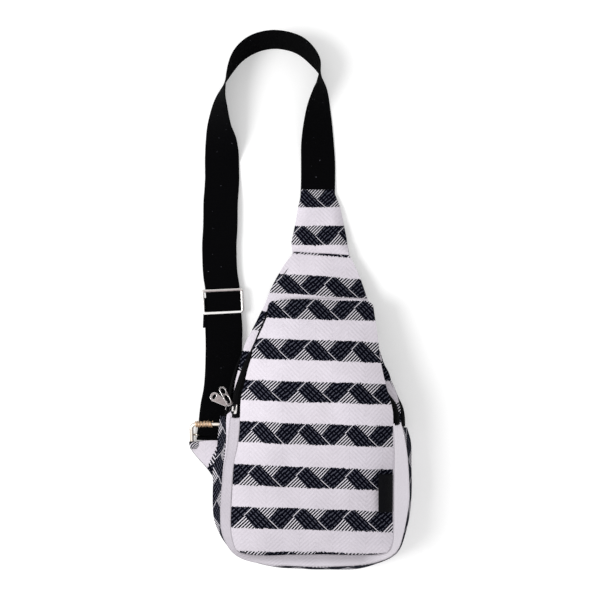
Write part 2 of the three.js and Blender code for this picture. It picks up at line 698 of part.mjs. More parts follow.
// Neck piece: a flat back and a domed front with the strap's end between them.
const NECK_ROWS = 8;
const neckRows = Array.from({ length: NECK_ROWS + 1 }, (unused, i) => lerp(NECK_BOTTOM_Y, NECK_TOP_Y, i / NECK_ROWS));
const neckShare = (y) => (y - NECK_BOTTOM_Y) / NECK_LENGTH;
const neckHalf = (y) => lerp(NECK_BOTTOM_HALF, NECK_TOP_HALF, neckShare(y) ** NECK_TAPER);
const neckX = (y) => lerp(NECK_BOTTOM_X, NECK_TOP_X, neckShare(y));

function neckGrid(zAt) {
  return neckRows.map((y) => {
    const left = vec(neckX(y) - neckHalf(y), y, 0);
    const right = vec(neckX(y) + neckHalf(y), y, 0);
    return acrossRow(left, right, (point) => point.setZ(zAt(y, (point.x - neckX(y)) / neckHalf(y))));
  });
}

function neckBack() {
  return gridSolid(neckGrid(() => CLOTH), neckGrid(() => 0), bands(NECK_BAND_Y, NECK_BAND));
}

function neckFront() {
  const edgeZ = CLOTH + LAY_GAP + WEBBING + LAY_GAP + CLOTH / 2;
  const zAt = (y, across) => {
    const top = lerp(NECK_BOTTOM_DEPTH, NECK_TOP_DEPTH, neckShare(y)) - CLOTH / 2;
    return lerp(edgeZ, top, 1 - Math.abs(across) ** 3);
  };
  return clothSheet(neckGrid(zAt), CLOTH, bands(NECK_BAND_Y, NECK_BAND));
}

// Heights of the webbing where it passes the slide: under run, sewn wrap, centre bar, wrap, running webbing
const WRAP_BAR_GAP = LAY_GAP + SLIDE_BAR / 2;
const WRAP_OUTER = WRAP_BAR_GAP + WEBBING;
const BAR_Z = WEBBING + LAY_GAP + WRAP_OUTER;
const RUN_Z = BAR_Z + WRAP_OUTER + LAY_GAP;
const FRAME_Z = RUN_Z + WEBBING + LAY_GAP + WIRE / 2;
const LOOP_OUTER = (RUN_Z + WEBBING) / 2;
const LOOP_INNER = LOOP_OUTER - WEBBING;
const BUCKLE_BAR_RADIUS = LOOP_INNER - LAY_GAP;
const LOOP_ROWS = 8;

// One cross-section of webbing: two points on its upper face and two on its lower face.
function strapSection(outer, across, up) {
  const inner = outer.clone().addScaledVector(across, WEBBING_WIDTH);
  const top = [outer.clone().addScaledVector(up, WEBBING), inner.clone().addScaledVector(up, WEBBING)];
  return { top, bottom: [outer, inner] };
}

function strapArc() {
  const curve = new THREE.CatmullRomCurve3(STRAP_ARC.map(([x, y, tilt]) => vec(x, y, tilt)));
  return Array.from({ length: STRAP_STEPS + 1 }, (unused, i) => {
    const point = curve.getPoint(i / STRAP_STEPS);
    const along = curve.getTangent(i / STRAP_STEPS).setZ(0).normalize();
    const tilt = THREE.MathUtils.degToRad(Math.max(0, point.z));
    const across = vec(-along.y * Math.cos(tilt), along.x * Math.cos(tilt), Math.sin(tilt));
    const up = vec(0, 0, 0).crossVectors(along, across);
    const tucked = point.x > 0 && point.y < NECK_TOP_Y + TUCK_RUN;
    const tuck = tucked ? smoothstep(NECK_TOP_Y + TUCK_RUN - point.y, 0, TUCK_RUN) : 0;
    const base = tuck * (CLOTH + LAY_GAP) + Math.max(0, -up.z * WEBBING);
    return strapSection(vec(point.x, point.y, base), across, up);
  });
}

function strapLeg() {
  const across = vec(1, 0, 0);
  const up = vec(0, 0, 1);
  const legEdge = LEG_X - WEBBING_WIDTH / 2;
  const buckleEdge = BUCKLE_X + BUCKLE_STRAP_SHIFT - WEBBING_WIDTH / 2;
  const sections = [];
  for (const share of [0.25, 0.5, 0.75]) {
    const y = lerp(STRAP_ARC[STRAP_ARC.length - 1][1], LEG_TOP_Y, share);
    sections.push(strapSection(vec(legEdge, y, RUN_Z * smoothstep(share, 0, 1)), across, up));
  }
  sections.push(strapSection(vec(legEdge, LEG_TOP_Y, RUN_Z), across, up));
  for (const share of [0, 0.25, 0.5, 0.75, 1]) {
    const y = lerp(LEG_LOW_Y, BUCKLE_Y, share);
    const x = lerp(legEdge, buckleEdge, smoothstep(share, -0.2, 1));
    sections.push(strapSection(vec(x, y, RUN_Z), across, up));
  }
  return sections;
}

function buckleLoop() {
  const edge = BUCKLE_X + BUCKLE_STRAP_SHIFT - WEBBING_WIDTH / 2;
  return Array.from({ length: LOOP_ROWS - 1 }, (unused, i) => {
    const angle = Math.PI / 2 - Math.PI * (i + 1) / LOOP_ROWS;
    const up = vec(0, -Math.cos(angle), Math.sin(angle));
    const centre = vec(edge, BUCKLE_Y, LOOP_OUTER);
    return strapSection(centre.addScaledVector(up, LOOP_INNER), vec(1, 0, 0), up);
  });
}

function underRun() {
  const legEdge = LEG_X - WEBBING_WIDTH / 2;
  const buckleEdge = BUCKLE_X + BUCKLE_STRAP_SHIFT - WEBBING_WIDTH / 2;
  const down = vec(0, 0, -1);
  const sections = [1, 0.75, 0.5, 0.25, 0].map((share) => {
    const x = lerp(legEdge, buckleEdge, smoothstep(share, -0.2, 1));
    return strapSection(vec(x, lerp(LEG_LOW_Y, BUCKLE_Y, share), WEBBING), vec(1, 0, 0), down);
  });
  sections.push(strapSection(vec(legEdge, UNDER_RUN_TOP_Y, WEBBING), vec(1, 0, 0), down));
  return sections;
}

function ribbon(sections) {
  return gridSolid(sections.map((section) => section.top), sections.map((section) => section.bottom));
}

const strapWebbing = () => ribbon([...strapArc(), ...strapLeg(), ...buckleLoop(), ...underRun()]);

// The webbing's end is wrapped round the slide's centre bar and sewn to itself.
function sewnEnd() {
  const edge = LEG_X - WEBBING_WIDTH / 2;
  const turnY = SLIDE_Y + SLIDE_BAR_WIDTH / 2 - 0.4;
  const across = vec(1, 0, 0);
  const lowStart = vec(edge, SLIDE_Y - SLIDE_BAR_WIDTH / 2, BAR_Z - WRAP_BAR_GAP);
  const sections = [strapSection(lowStart, across, vec(0, 0, -1))];
  for (let i = 0; i <= LOOP_ROWS; i++) {
    const angle = -Math.PI / 2 + Math.PI * i / LOOP_ROWS;
    const up = vec(0, Math.cos(angle), Math.sin(angle));
    sections.push(strapSection(vec(edge, turnY, BAR_Z).addScaledVector(up, WRAP_BAR_GAP), across, up));
  }
  sections.push(strapSection(vec(edge, SLIDE_Y - SEWN_TAIL, BAR_Z + WRAP_BAR_GAP), across, vec(0, 0, 1)));
  return ribbon(sections);
}

// A wire bent into a rounded rectangle, in the plane z = height.
function wireFrame(halfWidth, halfHeight, height) {
  const corners = [[1, 1], [-1, 1], [-1, -1], [1, -1]];
  const path = corners.flatMap(([sx, sy], corner) => Array.from({ length: 4 }, (unused, k) => {
    const angle = (corner + k / 3) * Math.PI / 2;
    const centre = vec(sx * (halfWidth - FRAME_CORNER), sy * (halfHeight - FRAME_CORNER), height);
    return centre.add(vec(FRAME_CORNER * Math.cos(angle), FRAME_CORNER * Math.sin(angle), 0));
  }));
  const sides = 10;
  const rings = path.map((point, i) => {
    const before = path[(i + path.length - 1) % path.length];
    const along = path[(i + 1) % path.length].clone().sub(before).normalize();
    const out = vec(along.y, -along.x, 0);
    return Array.from({ length: sides }, (unused, k) => {
      const angle = 2 * Math.PI * k / sides;
      const side = point.clone().addScaledVector(out, WIRE / 2 * Math.cos(angle));
      return side.add(vec(0, 0, WIRE / 2 * Math.sin(angle)));
    });
  });
  const triangles = [];
  rings.forEach((ring, i) => ring.forEach((point, k) => {
    const next = (i + 1) % rings.length;
    const turn = (k + 1) % sides;
    triangles.push([i * sides + k, next * sides + k, next * sides + turn]);
    triangles.push([i * sides + k, next * sides + turn, i * sides + turn]);
  }));
  return solidFrom(rings.flat(), triangles);
}

// A three-bar slide: its origin is the middle of the centre bar, which hangs below the frame.
function threeBarSlide(drop, barHalfHeight, barHalfWidth) {
  const frame = toManifold(wireFrame(FRAME_HALF_WIDTH, FRAME_HEIGHT / 2, drop));
  const bar = new THREE.CylinderGeometry(1, 1, 2 * FRAME_HALF_WIDTH, 12).rotateZ(Math.PI / 2);
  const post = new THREE.CylinderGeometry(WIRE / 2, WIRE / 2, drop, 10).rotateX(Math.PI / 2);
  const postAt = (x) => toManifold(post.clone().translate(x, 0, drop / 2));
  const posts = [postAt(-FRAME_HALF_WIDTH), postAt(FRAME_HALF_WIDTH)];
  const solid = frame.add(toManifold(bar.scale(1, barHalfWidth, barHalfHeight))).add(posts[0]).add(posts[1]);
  return fromManifold(solid);
}

// Side wing: a folded triangle of cloth, its hem round the buckle's lowest bar.
const BUCKLE_DROP = (FRAME_Z - LOOP_OUTER - Math.sin(BUCKLE_TILT) * FRAME_HEIGHT / 2) / Math.cos(BUCKLE_TILT);
const HEM_Y = BUCKLE_Y - Math.cos(BUCKLE_TILT) * FRAME_HEIGHT / 2 - Math.sin(BUCKLE_TILT) * BUCKLE_DROP;
const HEM_Z = LOOP_OUTER + Math.cos(BUCKLE_TILT) * BUCKLE_DROP - Math.sin(BUCKLE_TILT) * FRAME_HEIGHT / 2;
const HEM_RADIUS = WIRE / 2 + HEM_CLEARANCE + CLOTH / 2;
const WING_ROWS = 6;

function wingPath() {
  const layer = (sign) => Array.from({ length: WING_ROWS }, (unused, i) => {
    const share = i / WING_ROWS;
    const z = lerp(sign > 0 ? 2.9 : 1, HEM_Z + sign * HEM_RADIUS, share);
    return { y: lerp(WING_TIP_Y, HEM_Y, share), z, seamZ: WING_SEAM_RISE + (sign - 1) * 0.8 };
  });
  const turn = Array.from({ length: LOOP_ROWS + 1 }, (unused, i) => {
    const angle = -Math.PI / 2 + Math.PI * i / LOOP_ROWS;
    return { y: HEM_Y + HEM_RADIUS * Math.cos(angle), z: HEM_Z + HEM_RADIUS * Math.sin(angle) };
  });
  return [...layer(-1), ...turn, ...layer(1).reverse()];
}

function sideWing() {
  const columns = 6;
  const wingLeft = BUCKLE_X - FRAME_HALF_WIDTH + FRAME_CORNER + LAY_GAP;
  const grid = wingPath().map(({ y, z, seamZ }) => {
    const share = clamp((HEM_Y - y) / (HEM_Y - WING_TIP_Y), 0, 1);
    const left = lerp(wingLeft, WING_TIP_X, share);
    const right = axisX(y) - bodyHalf(y) + WING_TUCK;
    return Array.from({ length: columns + 1 }, (unused, j) => {
      const across = j / columns;
      const rise = seamZ === undefined ? 0 : (seamZ - z) * across ** 2 * smoothstep(HEM_Y - y, 2, 12);
      return vec(lerp(left, right, across), y, z + rise);
    });
  });
  return clothSheet(grid, CLOTH);
}

// The folded label lies on the pocket's front, its right edge past the pocket's edge.
function wovenLabel() {
  const rows = 4;
  const columns = 3;
  const surface = (lift) => Array.from({ length: rows + 1 }, (unused, i) => {
    const y = LABEL_Y + LABEL_HEIGHT * (0.5 - i / rows);
    const right = axisX(y) + lean(pocketEdgeZ(y)) + pocketHalf(y) + LABEL_OVERHANG;
    return Array.from({ length: columns + 1 }, (alsoUnused, j) => {
      const x = right - LABEL_WIDTH * (1 - j / columns);
      return vec(x, y, pocketFrontZ(x, y) + lift);
    });
  });
  const low = CLOTH / 2 + LAY_GAP + 0.3;
  return gridSolid(surface(low + LABEL_THICK), surface(low));
}

function pocketFrontZ(x, y) {
  return lerp(pocketEdgeZ(y), pocketCrownZ(y), crownShare(x, y, pocketHalf, POCKET_TOP_Y, POCKET_BOTTOM_Y));
}

function addMesh(group, name, geometry, material) {
  const mesh = new THREE.Mesh(geometry, material);
  mesh.name = name;
  group.add(mesh);
  return mesh;
}

const bag = new THREE.Group();
addMesh(bag, 'back_panel', backPanel(), stripedCloth());
addMesh(bag, 'main_bottom_gusset', mainBottomGusset(), darkCloth());
addMesh(bag, 'main_side_gusset', mainSideGusset(), darkCloth());
addMesh(bag, 'main_zip_back_tape', stringer(zips.main, -1), zipTape());
addMesh(bag, 'main_zip_front_tape', stringer(zips.main, 1), zipTape());
addMesh(bag, 'main_front_panel', mainFrontPanel(), stripedCloth());
addMesh(bag, 'pocket_bottom_gusset', pocketBottomGusset(), cloth());
addMesh(bag, 'pocket_zip_back_tape', stringer(zips.pocket, -1), zipTape());
addMesh(bag, 'pocket_zip_front_tape', stringer(zips.pocket, 1), zipTape());
addMesh(bag, 'pocket_front_panel', pocketFrontPanel(), stripedCloth());
addMesh(bag, 'woven_label', wovenLabel(), zipTape());
addSlider(bag, 'main_zip', zips.main, MAIN_PULL);
addSlider(bag, 'pocket_zip', zips.pocket, POCKET_PULL);
addMesh(bag, 'neck_back', neckBack(), stripedCloth());
addMesh(bag, 'neck_front', neckFront(), stripedCloth());
addMesh(bag, 'strap_webbing', strapWebbing(), webbing());
addMesh(bag, 'strap_sewn_end', sewnEnd(), webbing());
const slideSolid = threeBarSlide(FRAME_Z - BAR_Z, SLIDE_BAR / 2, SLIDE_BAR_WIDTH / 2);
const slide = addMesh(bag, 'strap_slide', slideSolid, nickel());
slide.position.set(LEG_X, SLIDE_Y, BAR_Z);
const buckleSolid = threeBarSlide(BUCKLE_DROP, BUCKLE_BAR_RADIUS, BUCKLE_BAR_RADIUS);
const buckle = addMesh(bag, 'strap_buckle', buckleSolid, oldGold());
buckle.position.set(BUCKLE_X, BUCKLE_Y, LOOP_OUTER);
buckle.rotation.x = BUCKLE_TILT;
addMesh(bag, 'side_wing', sideWing(), cloth());

// The origin is the middle of the bag's box on the floor.
const box = new THREE.Box3().setFromObject(bag, true);
bag.position.set(-(box.min.x + box.max.x) / 2, -(box.min.y + box.max.y) / 2, -box.min.z);

export default bag;
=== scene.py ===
# %% [markdown]
# # A striped sling bag, seen from straight above
# The bag lies on its back on a white floor. The frame that comes from the CAD gives every piece its place.
# Here each cloth piece gets a finer shape, and every surface gets its weave, wear and light.

# %% Load the frame
import math
import bpy
import numpy as np
from mathutils import Matrix, Vector, noise


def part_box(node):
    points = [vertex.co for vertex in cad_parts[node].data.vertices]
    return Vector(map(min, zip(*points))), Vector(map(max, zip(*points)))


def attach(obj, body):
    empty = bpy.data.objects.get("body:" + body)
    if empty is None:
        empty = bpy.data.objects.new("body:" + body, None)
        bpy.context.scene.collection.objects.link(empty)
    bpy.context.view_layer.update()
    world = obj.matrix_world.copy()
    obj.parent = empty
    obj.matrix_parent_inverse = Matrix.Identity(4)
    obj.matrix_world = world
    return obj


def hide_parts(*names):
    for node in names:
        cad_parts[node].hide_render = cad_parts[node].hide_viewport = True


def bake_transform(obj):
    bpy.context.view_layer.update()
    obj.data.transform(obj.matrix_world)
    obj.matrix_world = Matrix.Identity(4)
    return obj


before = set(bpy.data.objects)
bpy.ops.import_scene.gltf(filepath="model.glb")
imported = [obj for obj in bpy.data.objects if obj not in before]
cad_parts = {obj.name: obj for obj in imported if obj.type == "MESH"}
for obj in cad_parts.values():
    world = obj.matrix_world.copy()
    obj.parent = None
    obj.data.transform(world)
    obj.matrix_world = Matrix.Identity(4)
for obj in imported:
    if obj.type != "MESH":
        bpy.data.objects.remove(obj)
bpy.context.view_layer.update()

# %% [markdown]
# ## The camera
# The photo was taken from straight above. One pixel covers 1.118 mm of floor, because the strap's common
# 38 mm webbing is 34 pixels wide. Higher things look larger, so a point's place depends on its height.
# `spot` turns a pixel and a height into a place, and then each edge can be read off the photo.

# %% Camera and spot
MM = 0.001
PIXEL = 1.118
EYE = 1000.0
MIDDLE = (0.62, -0.09)


def spot(px, py, z=0.0):
    """The point z millimetres up that shows at pixel (px, py)."""
    k = PIXEL * (1 - z / EYE)
    return Vector(((px - 300) * k + MIDDLE[0], (300 - py) * k + MIDDLE[1], z)) * MM


camera_data = bpy.data.cameras.new("camera")
camera_data.sensor_fit = "HORIZONTAL"
camera_data.angle = 2 * math.atan(300 * PIXEL / EYE)
camera = bpy.data.objects.new("camera", camera_data)
camera.location = Vector((MIDDLE[0], MIDDLE[1], EYE)) * MM
bpy.context.scene.collection.objects.link(camera)
bpy.context.scene.camera = camera
bpy.context.scene.view_settings.view_transform = "Standard"
print("camera angle", round(math.degrees(camera_data.angle), 2))

# %% [markdown]
# ## Floor, backdrop and light
# The bag lies on white paper under a large soft lamp at the lower left, so its shadow falls softly to the
# right. The world gives the rest of the light. Their sum is about 1, so a colour renders as written. Seen
# directly or mirrored in metal, the world is plain white.

# %% Stage
WORLD_FILL = 0.70


def lamp(name, place, size, power, aim):
    data = bpy.data.lights.new(name, "AREA")
    data.shape = "DISK"
    data.size = size
    data.energy = power
    obj = bpy.data.objects.new(name, data)
    obj.location = place
    obj.rotation_euler = (Vector(aim) - Vector(place)).to_track_quat("-Z", "Y").to_euler()
    bpy.context.scene.collection.objects.link(obj)
    return obj


lamp("key_lamp", (-1.15, -0.12, 1.25), 0.8, 17.5, (0.0, -0.02, 0.0))
world = bpy.data.worlds.new("studio")
bpy.context.scene.world = world
world.use_nodes = True
world_light = world.node_tree.nodes["Background"]
world_light.inputs["Color"].default_value = (1.0, 1.0, 1.0, 1.0)
path = world.node_tree.nodes.new("ShaderNodeLightPath")
direct = world.node_tree.nodes.new("ShaderNodeMath")
direct.operation = "MAXIMUM"
world.node_tree.links.new(path.outputs["Is Camera Ray"], direct.inputs[0])
world.node_tree.links.new(path.outputs["Is Glossy Ray"], direct.inputs[1])
strength = world.node_tree.nodes.new("ShaderNodeMath")
strength.operation = "MULTIPLY_ADD"
strength.inputs[1].default_value = 1.0 - WORLD_FILL
strength.inputs[2].default_value = WORLD_FILL
world.node_tree.links.new(direct.outputs[0], strength.inputs[0])
world.node_tree.links.new(strength.outputs[0], world_light.inputs["Strength"])
print("world gives", WORLD_FILL, "of the light")

# %% [markdown]
# ## Writing materials as sums
# A woven pattern is arithmetic on the cloth's own coordinates. The small class below wires Math nodes, so
# that a pattern can be written almost as a formula, and keeps the node tree short to read.

# %% Material helper


class Shader:
    """One material with helpers that add nodes and hand back their output socket."""

    def __init__(self, name, roughness=0.9, metallic=0.0, sheen=0.08):
        self.material = bpy.data.materials.new(name)
        self.material.use_nodes = True
        self.nodes = self.material.node_tree.nodes
        self.links = self.material.node_tree.links
        self.surface = self.nodes["Principled BSDF"]
        self.surface.inputs["Roughness"].default_value = roughness
        self.surface.inputs["Metallic"].default_value = metallic
        if not metallic:
            self.surface.inputs["Specular IOR Level"].default_value = sheen

    def feed(self, socket, value):
        if isinstance(value, bpy.types.NodeSocket):
            self.links.new(value, socket)
        elif isinstance(value, tuple):
            socket.default_value = (*value, 1.0) if len(value) == 3 and socket.type == "RGBA" else value
        else:
            socket.default_value = value

    def math(self, operation, a, b=0.0, c=0.0):
        node = self.nodes.new("ShaderNodeMath")
        node.operation = operation
        for socket, value in zip(node.inputs, (a, b, c)):
            self.feed(socket, value)
        return node.outputs[0]

    def add(self, a, b):
        return self.math("ADD", a, b)

    def sub(self, a, b):
        return self.math("SUBTRACT", a, b)

    def mul(self, a, b):
        return self.math("MULTIPLY", a, b)

    def under(self, a, b):
        return self.math("LESS_THAN", a, b)

    def share(self, a):
        return self.math("FRACT", a)

    def near(self, a, b, width):
        return self.under(self.math("ABSOLUTE", self.sub(a, b)), width)

    def no(self, a):
        return self.sub(1.0, a)

    def between(self, a, low, high):
        return self.math("MAXIMUM", self.math("MINIMUM", a, high), low)

    def mix(self, amount, a, b):
        node = self.nodes.new("ShaderNodeMix")
        node.data_type = "RGBA"
        self.feed(node.inputs["Factor"], amount)
        self.feed(node.inputs[6], a)
        self.feed(node.inputs[7], b)
        return node.outputs[2]

    def mixed(self, amount, a, b):
        """a where amount is 0 and b where it is 1, for plain numbers."""
        return self.add(self.mul(self.no(amount), a), self.mul(amount, b))

    def place(self):
        """Where a point lies on the bag, in pixels of the photo."""
        split = self.nodes.new("ShaderNodeSeparateXYZ")
        self.links.new(self.nodes.new("ShaderNodeTexCoord").outputs["Object"], split.inputs[0])
        return self.mul(split.outputs[0], 1 / (PIXEL * MM)), self.mul(split.outputs[1], 1 / (PIXEL * MM))

    def uv(self):
        split = self.nodes.new("ShaderNodeSeparateXYZ")
        self.links.new(self.nodes.new("ShaderNodeUVMap").outputs[0], split.inputs[0])
        return split.outputs[0], split.outputs[1]

    def noise(self, scale, detail=2.0):
        node = self.nodes.new("ShaderNodeTexNoise")
        self.feed(node.inputs["Scale"], scale)
        self.feed(node.inputs["Detail"], detail)
        self.links.new(self.nodes.new("ShaderNodeTexCoord").outputs["Object"], node.inputs["Vector"])
        return node.outputs[0]

    def finish(self, colour, height=None, depth=0.0003, roughness=None):
        self.feed(self.surface.inputs["Base Color"], colour)
        if height is not None:
            bump = self.nodes.new("ShaderNodeBump")
            self.feed(bump.inputs["Distance"], depth)
            self.feed(bump.inputs["Height"], height)
            self.links.new(bump.outputs[0], self.surface.inputs["Normal"])
        if roughness is not None:
            self.feed(self.surface.inputs["Roughness"], roughness)
        return self.material


# %% [markdown]
# ## The floor
# A sheet of white paper under the bag. It could be left to the world's white, but then nothing would catch
# the shadow. Paper that is a little lit for the camera alone stays white round a soft shadow.

# %% Floor
PAPER_GLOW = 0.24
floor_paper = Shader("floor_paper", roughness=1.0, sheen=0.0)
grain = floor_paper.noise(3.0)
seen = floor_paper.nodes.new("ShaderNodeLightPath").outputs["Is Camera Ray"]
paper = floor_paper.finish(floor_paper.mix(grain, (0.86, 0.86, 0.86), (0.88, 0.88, 0.88)))
floor_paper.surface.inputs["Emission Color"].default_value = (1.0, 1.0, 1.0, 1.0)
floor_paper.feed(floor_paper.surface.inputs["Emission Strength"], floor_paper.mul(seen, PAPER_GLOW))
bpy.ops.mesh.primitive_plane_add(size=8.0, location=(0, 0, -0.0004))
floor = bpy.context.object
floor.name = "floor"
floor.data.materials.append(paper)
print("floor", floor.name, "glow", PAPER_GLOW)

# %% [markdown]
# ## The striped cloth
# The bands show a braid: strands that lean right pass over and under strands that lean left, and between
# them stand small hatched triangles. One repeat of the braid is 49.3 px wide and a band 20.5 px high.
# U counts repeats along the band, and V counts stripes, so a whole V is the middle of a band. An image could
# hold the pattern too, but sums stay sharp at any distance and follow the seams of every piece.

# %% Striped cloth
REPEAT = 49.3
BAND = 20.5
BAND_SHARE = 0.49
OFF_WHITE = (0.700, 0.660, 0.730)
INK = (0.0012, 0.0012, 0.0040)
DASH = (0.070, 0.073, 0.098)
HATCH_WHITE = (0.74, 0.71, 0.76)
BLACK = (0.0, 0.0, 0.0)
HERRINGBONE = 31.0
RIB_STEP = 4.4
DASH_STEP = 7.5
HATCH_STEP = 3.4
THREAD_HALF = 0.45


def off_white(sh):
    """The light cloth's colour and its fine ribs, which lean left and right in turn. The colour carries painted shade
    that darkens it towards the bottom.
    """
    x, y = sh.place()
    turned = sh.under(sh.share(sh.mul(x, 1 / HERRINGBONE)), 0.5)
    ribs = sh.math("SINE", sh.mul(sh.mixed(turned, sh.add(x, y), sh.sub(x, y)), 1.42))
    patchy = sh.mul(sh.sub(sh.noise(48.0, 5.0), 0.5), 1.5)
    threads = sh.mul(sh.sub(sh.noise(420.0, 3.0), 0.5), 1.6)
    amount = sh.add(0.5, sh.add(sh.mul(ribs, 0.13), sh.add(patchy, threads)))
    tone = sh.mix(amount, tuple(c * 0.90 for c in OFF_WHITE), tuple(c * 1.08 for c in OFF_WHITE))
    warm = sh.mul(sh.noise(19.0, 2.0), 0.6)
    tone = sh.mix(warm, tone, (0.715, 0.655, 0.700))
    # Painted shade: the colour darkens towards the bottom of the bag, by up to 12%.
    low = sh.mul(sh.sub(-85.0, y), 1 / 700.0)
    return sh.mix(sh.between(low, 0.0, 0.12), tone, BLACK), ribs


def striped_cloth(name):
    """The braid: t runs down a band and s along one repeat of it, both in pixels of the photo."""
    sh = Shader(name, roughness=0.95, sheen=0.02)
    u, v = sh.uv()
    ragged = sh.mul(sh.sub(sh.noise(700.0), 0.5), 0.10)
    w = sh.sub(sh.share(sh.add(v, 0.5)), 0.5)
    inside = sh.under(sh.math("ABSOLUTE", sh.add(w, ragged)), BAND_SHARE / 2)
    t = sh.mul(sh.sub(BAND_SHARE / 2, w), BAND / BAND_SHARE)
    s = sh.mul(sh.share(u), REPEAT)
    right_edge = sh.mul(t, 0.98)
    low_side = sh.sub(23.5, sh.mul(t, 0.96))
    left_line = sh.add(23.5, sh.mul(sh.sub(BAND, t), 1.1))
    next_line = sh.sub(45.8, sh.mul(sh.sub(BAND, t), 0.88))
    before = sh.under(s, right_edge)
    past_low = sh.no(sh.under(s, low_side))
    past_left = sh.no(sh.under(s, left_line))
    past_next = sh.no(sh.under(s, next_line))
    low_hatch = sh.mul(sh.no(before), sh.no(past_low))
    high_hatch = sh.mul(sh.mul(sh.no(before), past_left), sh.no(past_next))
    hatched = sh.math("MAXIMUM", low_hatch, high_hatch)
    leans_right = sh.math("MAXIMUM", before, sh.mul(past_left, past_next))
    across = sh.sub(s, t)
    along = sh.add(s, t)
    rib = sh.share(sh.mul(sh.mixed(leans_right, along, across), 1 / RIB_STEP))
    dash = sh.share(sh.mul(sh.mixed(leans_right, across, along), 1 / DASH_STEP))
    dashes = sh.mul(sh.near(rib, 0.5, 0.16), sh.under(dash, 0.74))
    hatch = sh.near(sh.share(sh.mul(across, 1 / HATCH_STEP)), 0.5, 0.18)
    thread_a = sh.mul(sh.near(s, right_edge, THREAD_HALF), sh.no(sh.under(t, 12.0)))
    thread_b = sh.mul(sh.near(s, left_line, THREAD_HALF), sh.under(t, 8.8))
    thread = sh.math("MAXIMUM", thread_a, thread_b)
    dark = sh.mix(dashes, INK, DASH)
    dark = sh.mix(sh.mul(hatched, hatch), dark, HATCH_WHITE)
    dark = sh.mix(thread, dark, HATCH_WHITE)
    light, ribs = off_white(sh)
    weave = sh.math("SINE", sh.mul(sh.mixed(leans_right, along, across), 1.43))
    height = sh.mixed(inside, sh.mul(ribs, 0.35), sh.mul(weave, 0.8))
    height = sh.add(height, sh.mul(sh.noise(1400.0, 2.0), 0.8))
    return sh.finish(sh.mix(inside, light, dark), height, 0.00025)


striped = striped_cloth("striped_cloth")
print("striped cloth has", len(striped.node_tree.nodes), "nodes")

# %% [markdown]
# ## The other soft surfaces
# The pocket's side strip is cut from the plain off-white part of the cloth. Lamps alone make it too bright
# on the left and too dark on the right, so its colour carries painted shade on the left and painted light on
# the right and along the bottom. The strap is ribbed black webbing that has caught some lint, and the zips
# have a fine black tape.

# %% Plain cloth, webbing and tape
# LIT_WHITE is the colour of the painted light on the side strip; SEAM_GREY is the darker line along its seam.
LIT_WHITE = (0.97, 0.92, 0.99)
SEAM_GREY = (0.20, 0.18, 0.20)


def plain_cloth(name):
    sh = Shader(name, roughness=0.95, sheen=0.02)
    tone, ribs = off_white(sh)
    x, y = sh.place()
    _, v = sh.uv()
    # right marks the strip's right part and low its bottom. Painted light goes on the bottom and on the right part away
    # from the seam, and painted shade on the left part above the bottom.
    right = sh.between(sh.mul(sh.sub(x, 60.0), 1 / 25), 0.0, 1.0)
    low = sh.between(sh.mul(sh.add(y, 245.0), -0.1), 0.0, 1.0)
    off_seam = sh.math("MINIMUM", sh.mul(v, 0.25), 1.0)
    tone = sh.mix(sh.mul(low, 0.35), tone, LIT_WHITE)
    tone = sh.mix(sh.no(right), tone, sh.mix(sh.mul(sh.no(low), 0.24), tone, BLACK))
    tone = sh.mix(sh.mul(right, sh.mul(0.9, off_seam)), tone, LIT_WHITE)
    tone = sh.mix(sh.mul(sh.under(v, 1.0), 0.35), tone, SEAM_GREY)
    return sh.finish(tone, sh.add(sh.mul(ribs, 0.4), sh.mul(sh.noise(1400.0), 0.8)), 0.00025)


def black_webbing(name):
    sh = Shader(name, roughness=0.9, sheen=0.03)
    u, v = sh.uv()
    cross = sh.math("SINE", sh.mul(v, 4.2))
    lengthwise = sh.math("SINE", sh.mul(u, 5.5))
    ribs = sh.math("MAXIMUM", cross, sh.mul(lengthwise, 0.7))
    fluff = sh.noise(420.0, 1.0)
    lint = sh.no(sh.under(fluff, 0.785))
    tone = sh.mix(sh.add(0.5, sh.mul(cross, 0.25)), (0.0008, 0.0008, 0.0011), (0.0024, 0.0024, 0.0030))
    return sh.finish(sh.mix(lint, tone, (0.10, 0.10, 0.12)), ribs, 0.0003)


def black_tape(name):
    sh = Shader(name, roughness=0.8, sheen=0.05)
    _, v = sh.uv()
    rows = sh.math("SINE", sh.mul(v, 8.0))
    tone = sh.mix(sh.add(0.5, sh.mul(rows, 0.3)), (0.0012, 0.0012, 0.0016), (0.0040, 0.0038, 0.0048))
    return sh.finish(tone, sh.add(rows, sh.noise(900.0)), 0.00015)


plain = plain_cloth("plain_cloth")
webbing = black_webbing("black_webbing")
tape = black_tape("black_tape")
print("soft surfaces", plain.name, webbing.name, tape.name)

# %% [markdown]
# ## The metals
# The slide, sliders and pulls are nickel-plated; where the plate is worn it looks grey. Copies of the nickel
# in other tones paint light and shade on them: a near-white one is a painted highlight and two darker ones
# are painted shade. The buckle at the strap's lower end is an antique gold that shows brown towards the
# wire's sides and near white in the middle, which a Layer Weight gives from any angle; the near-white middle
# is a painted highlight.

# %% Metals


def plated(name, bright, dull, roughness, wear):
    sh = Shader(name, roughness=roughness, metallic=1.0)
    patches = sh.noise(wear, 4.0)
    fine = sh.noise(wear * 9, 2.0)
    tone = sh.mix(sh.math("SMOOTH_MIN", sh.mul(patches, 1.3), 1.0, 0.2), dull, bright)
    rough = sh.add(roughness * 0.7, sh.mul(fine, roughness * 0.8))
    return sh.finish(tone, fine, 0.00004, rough)


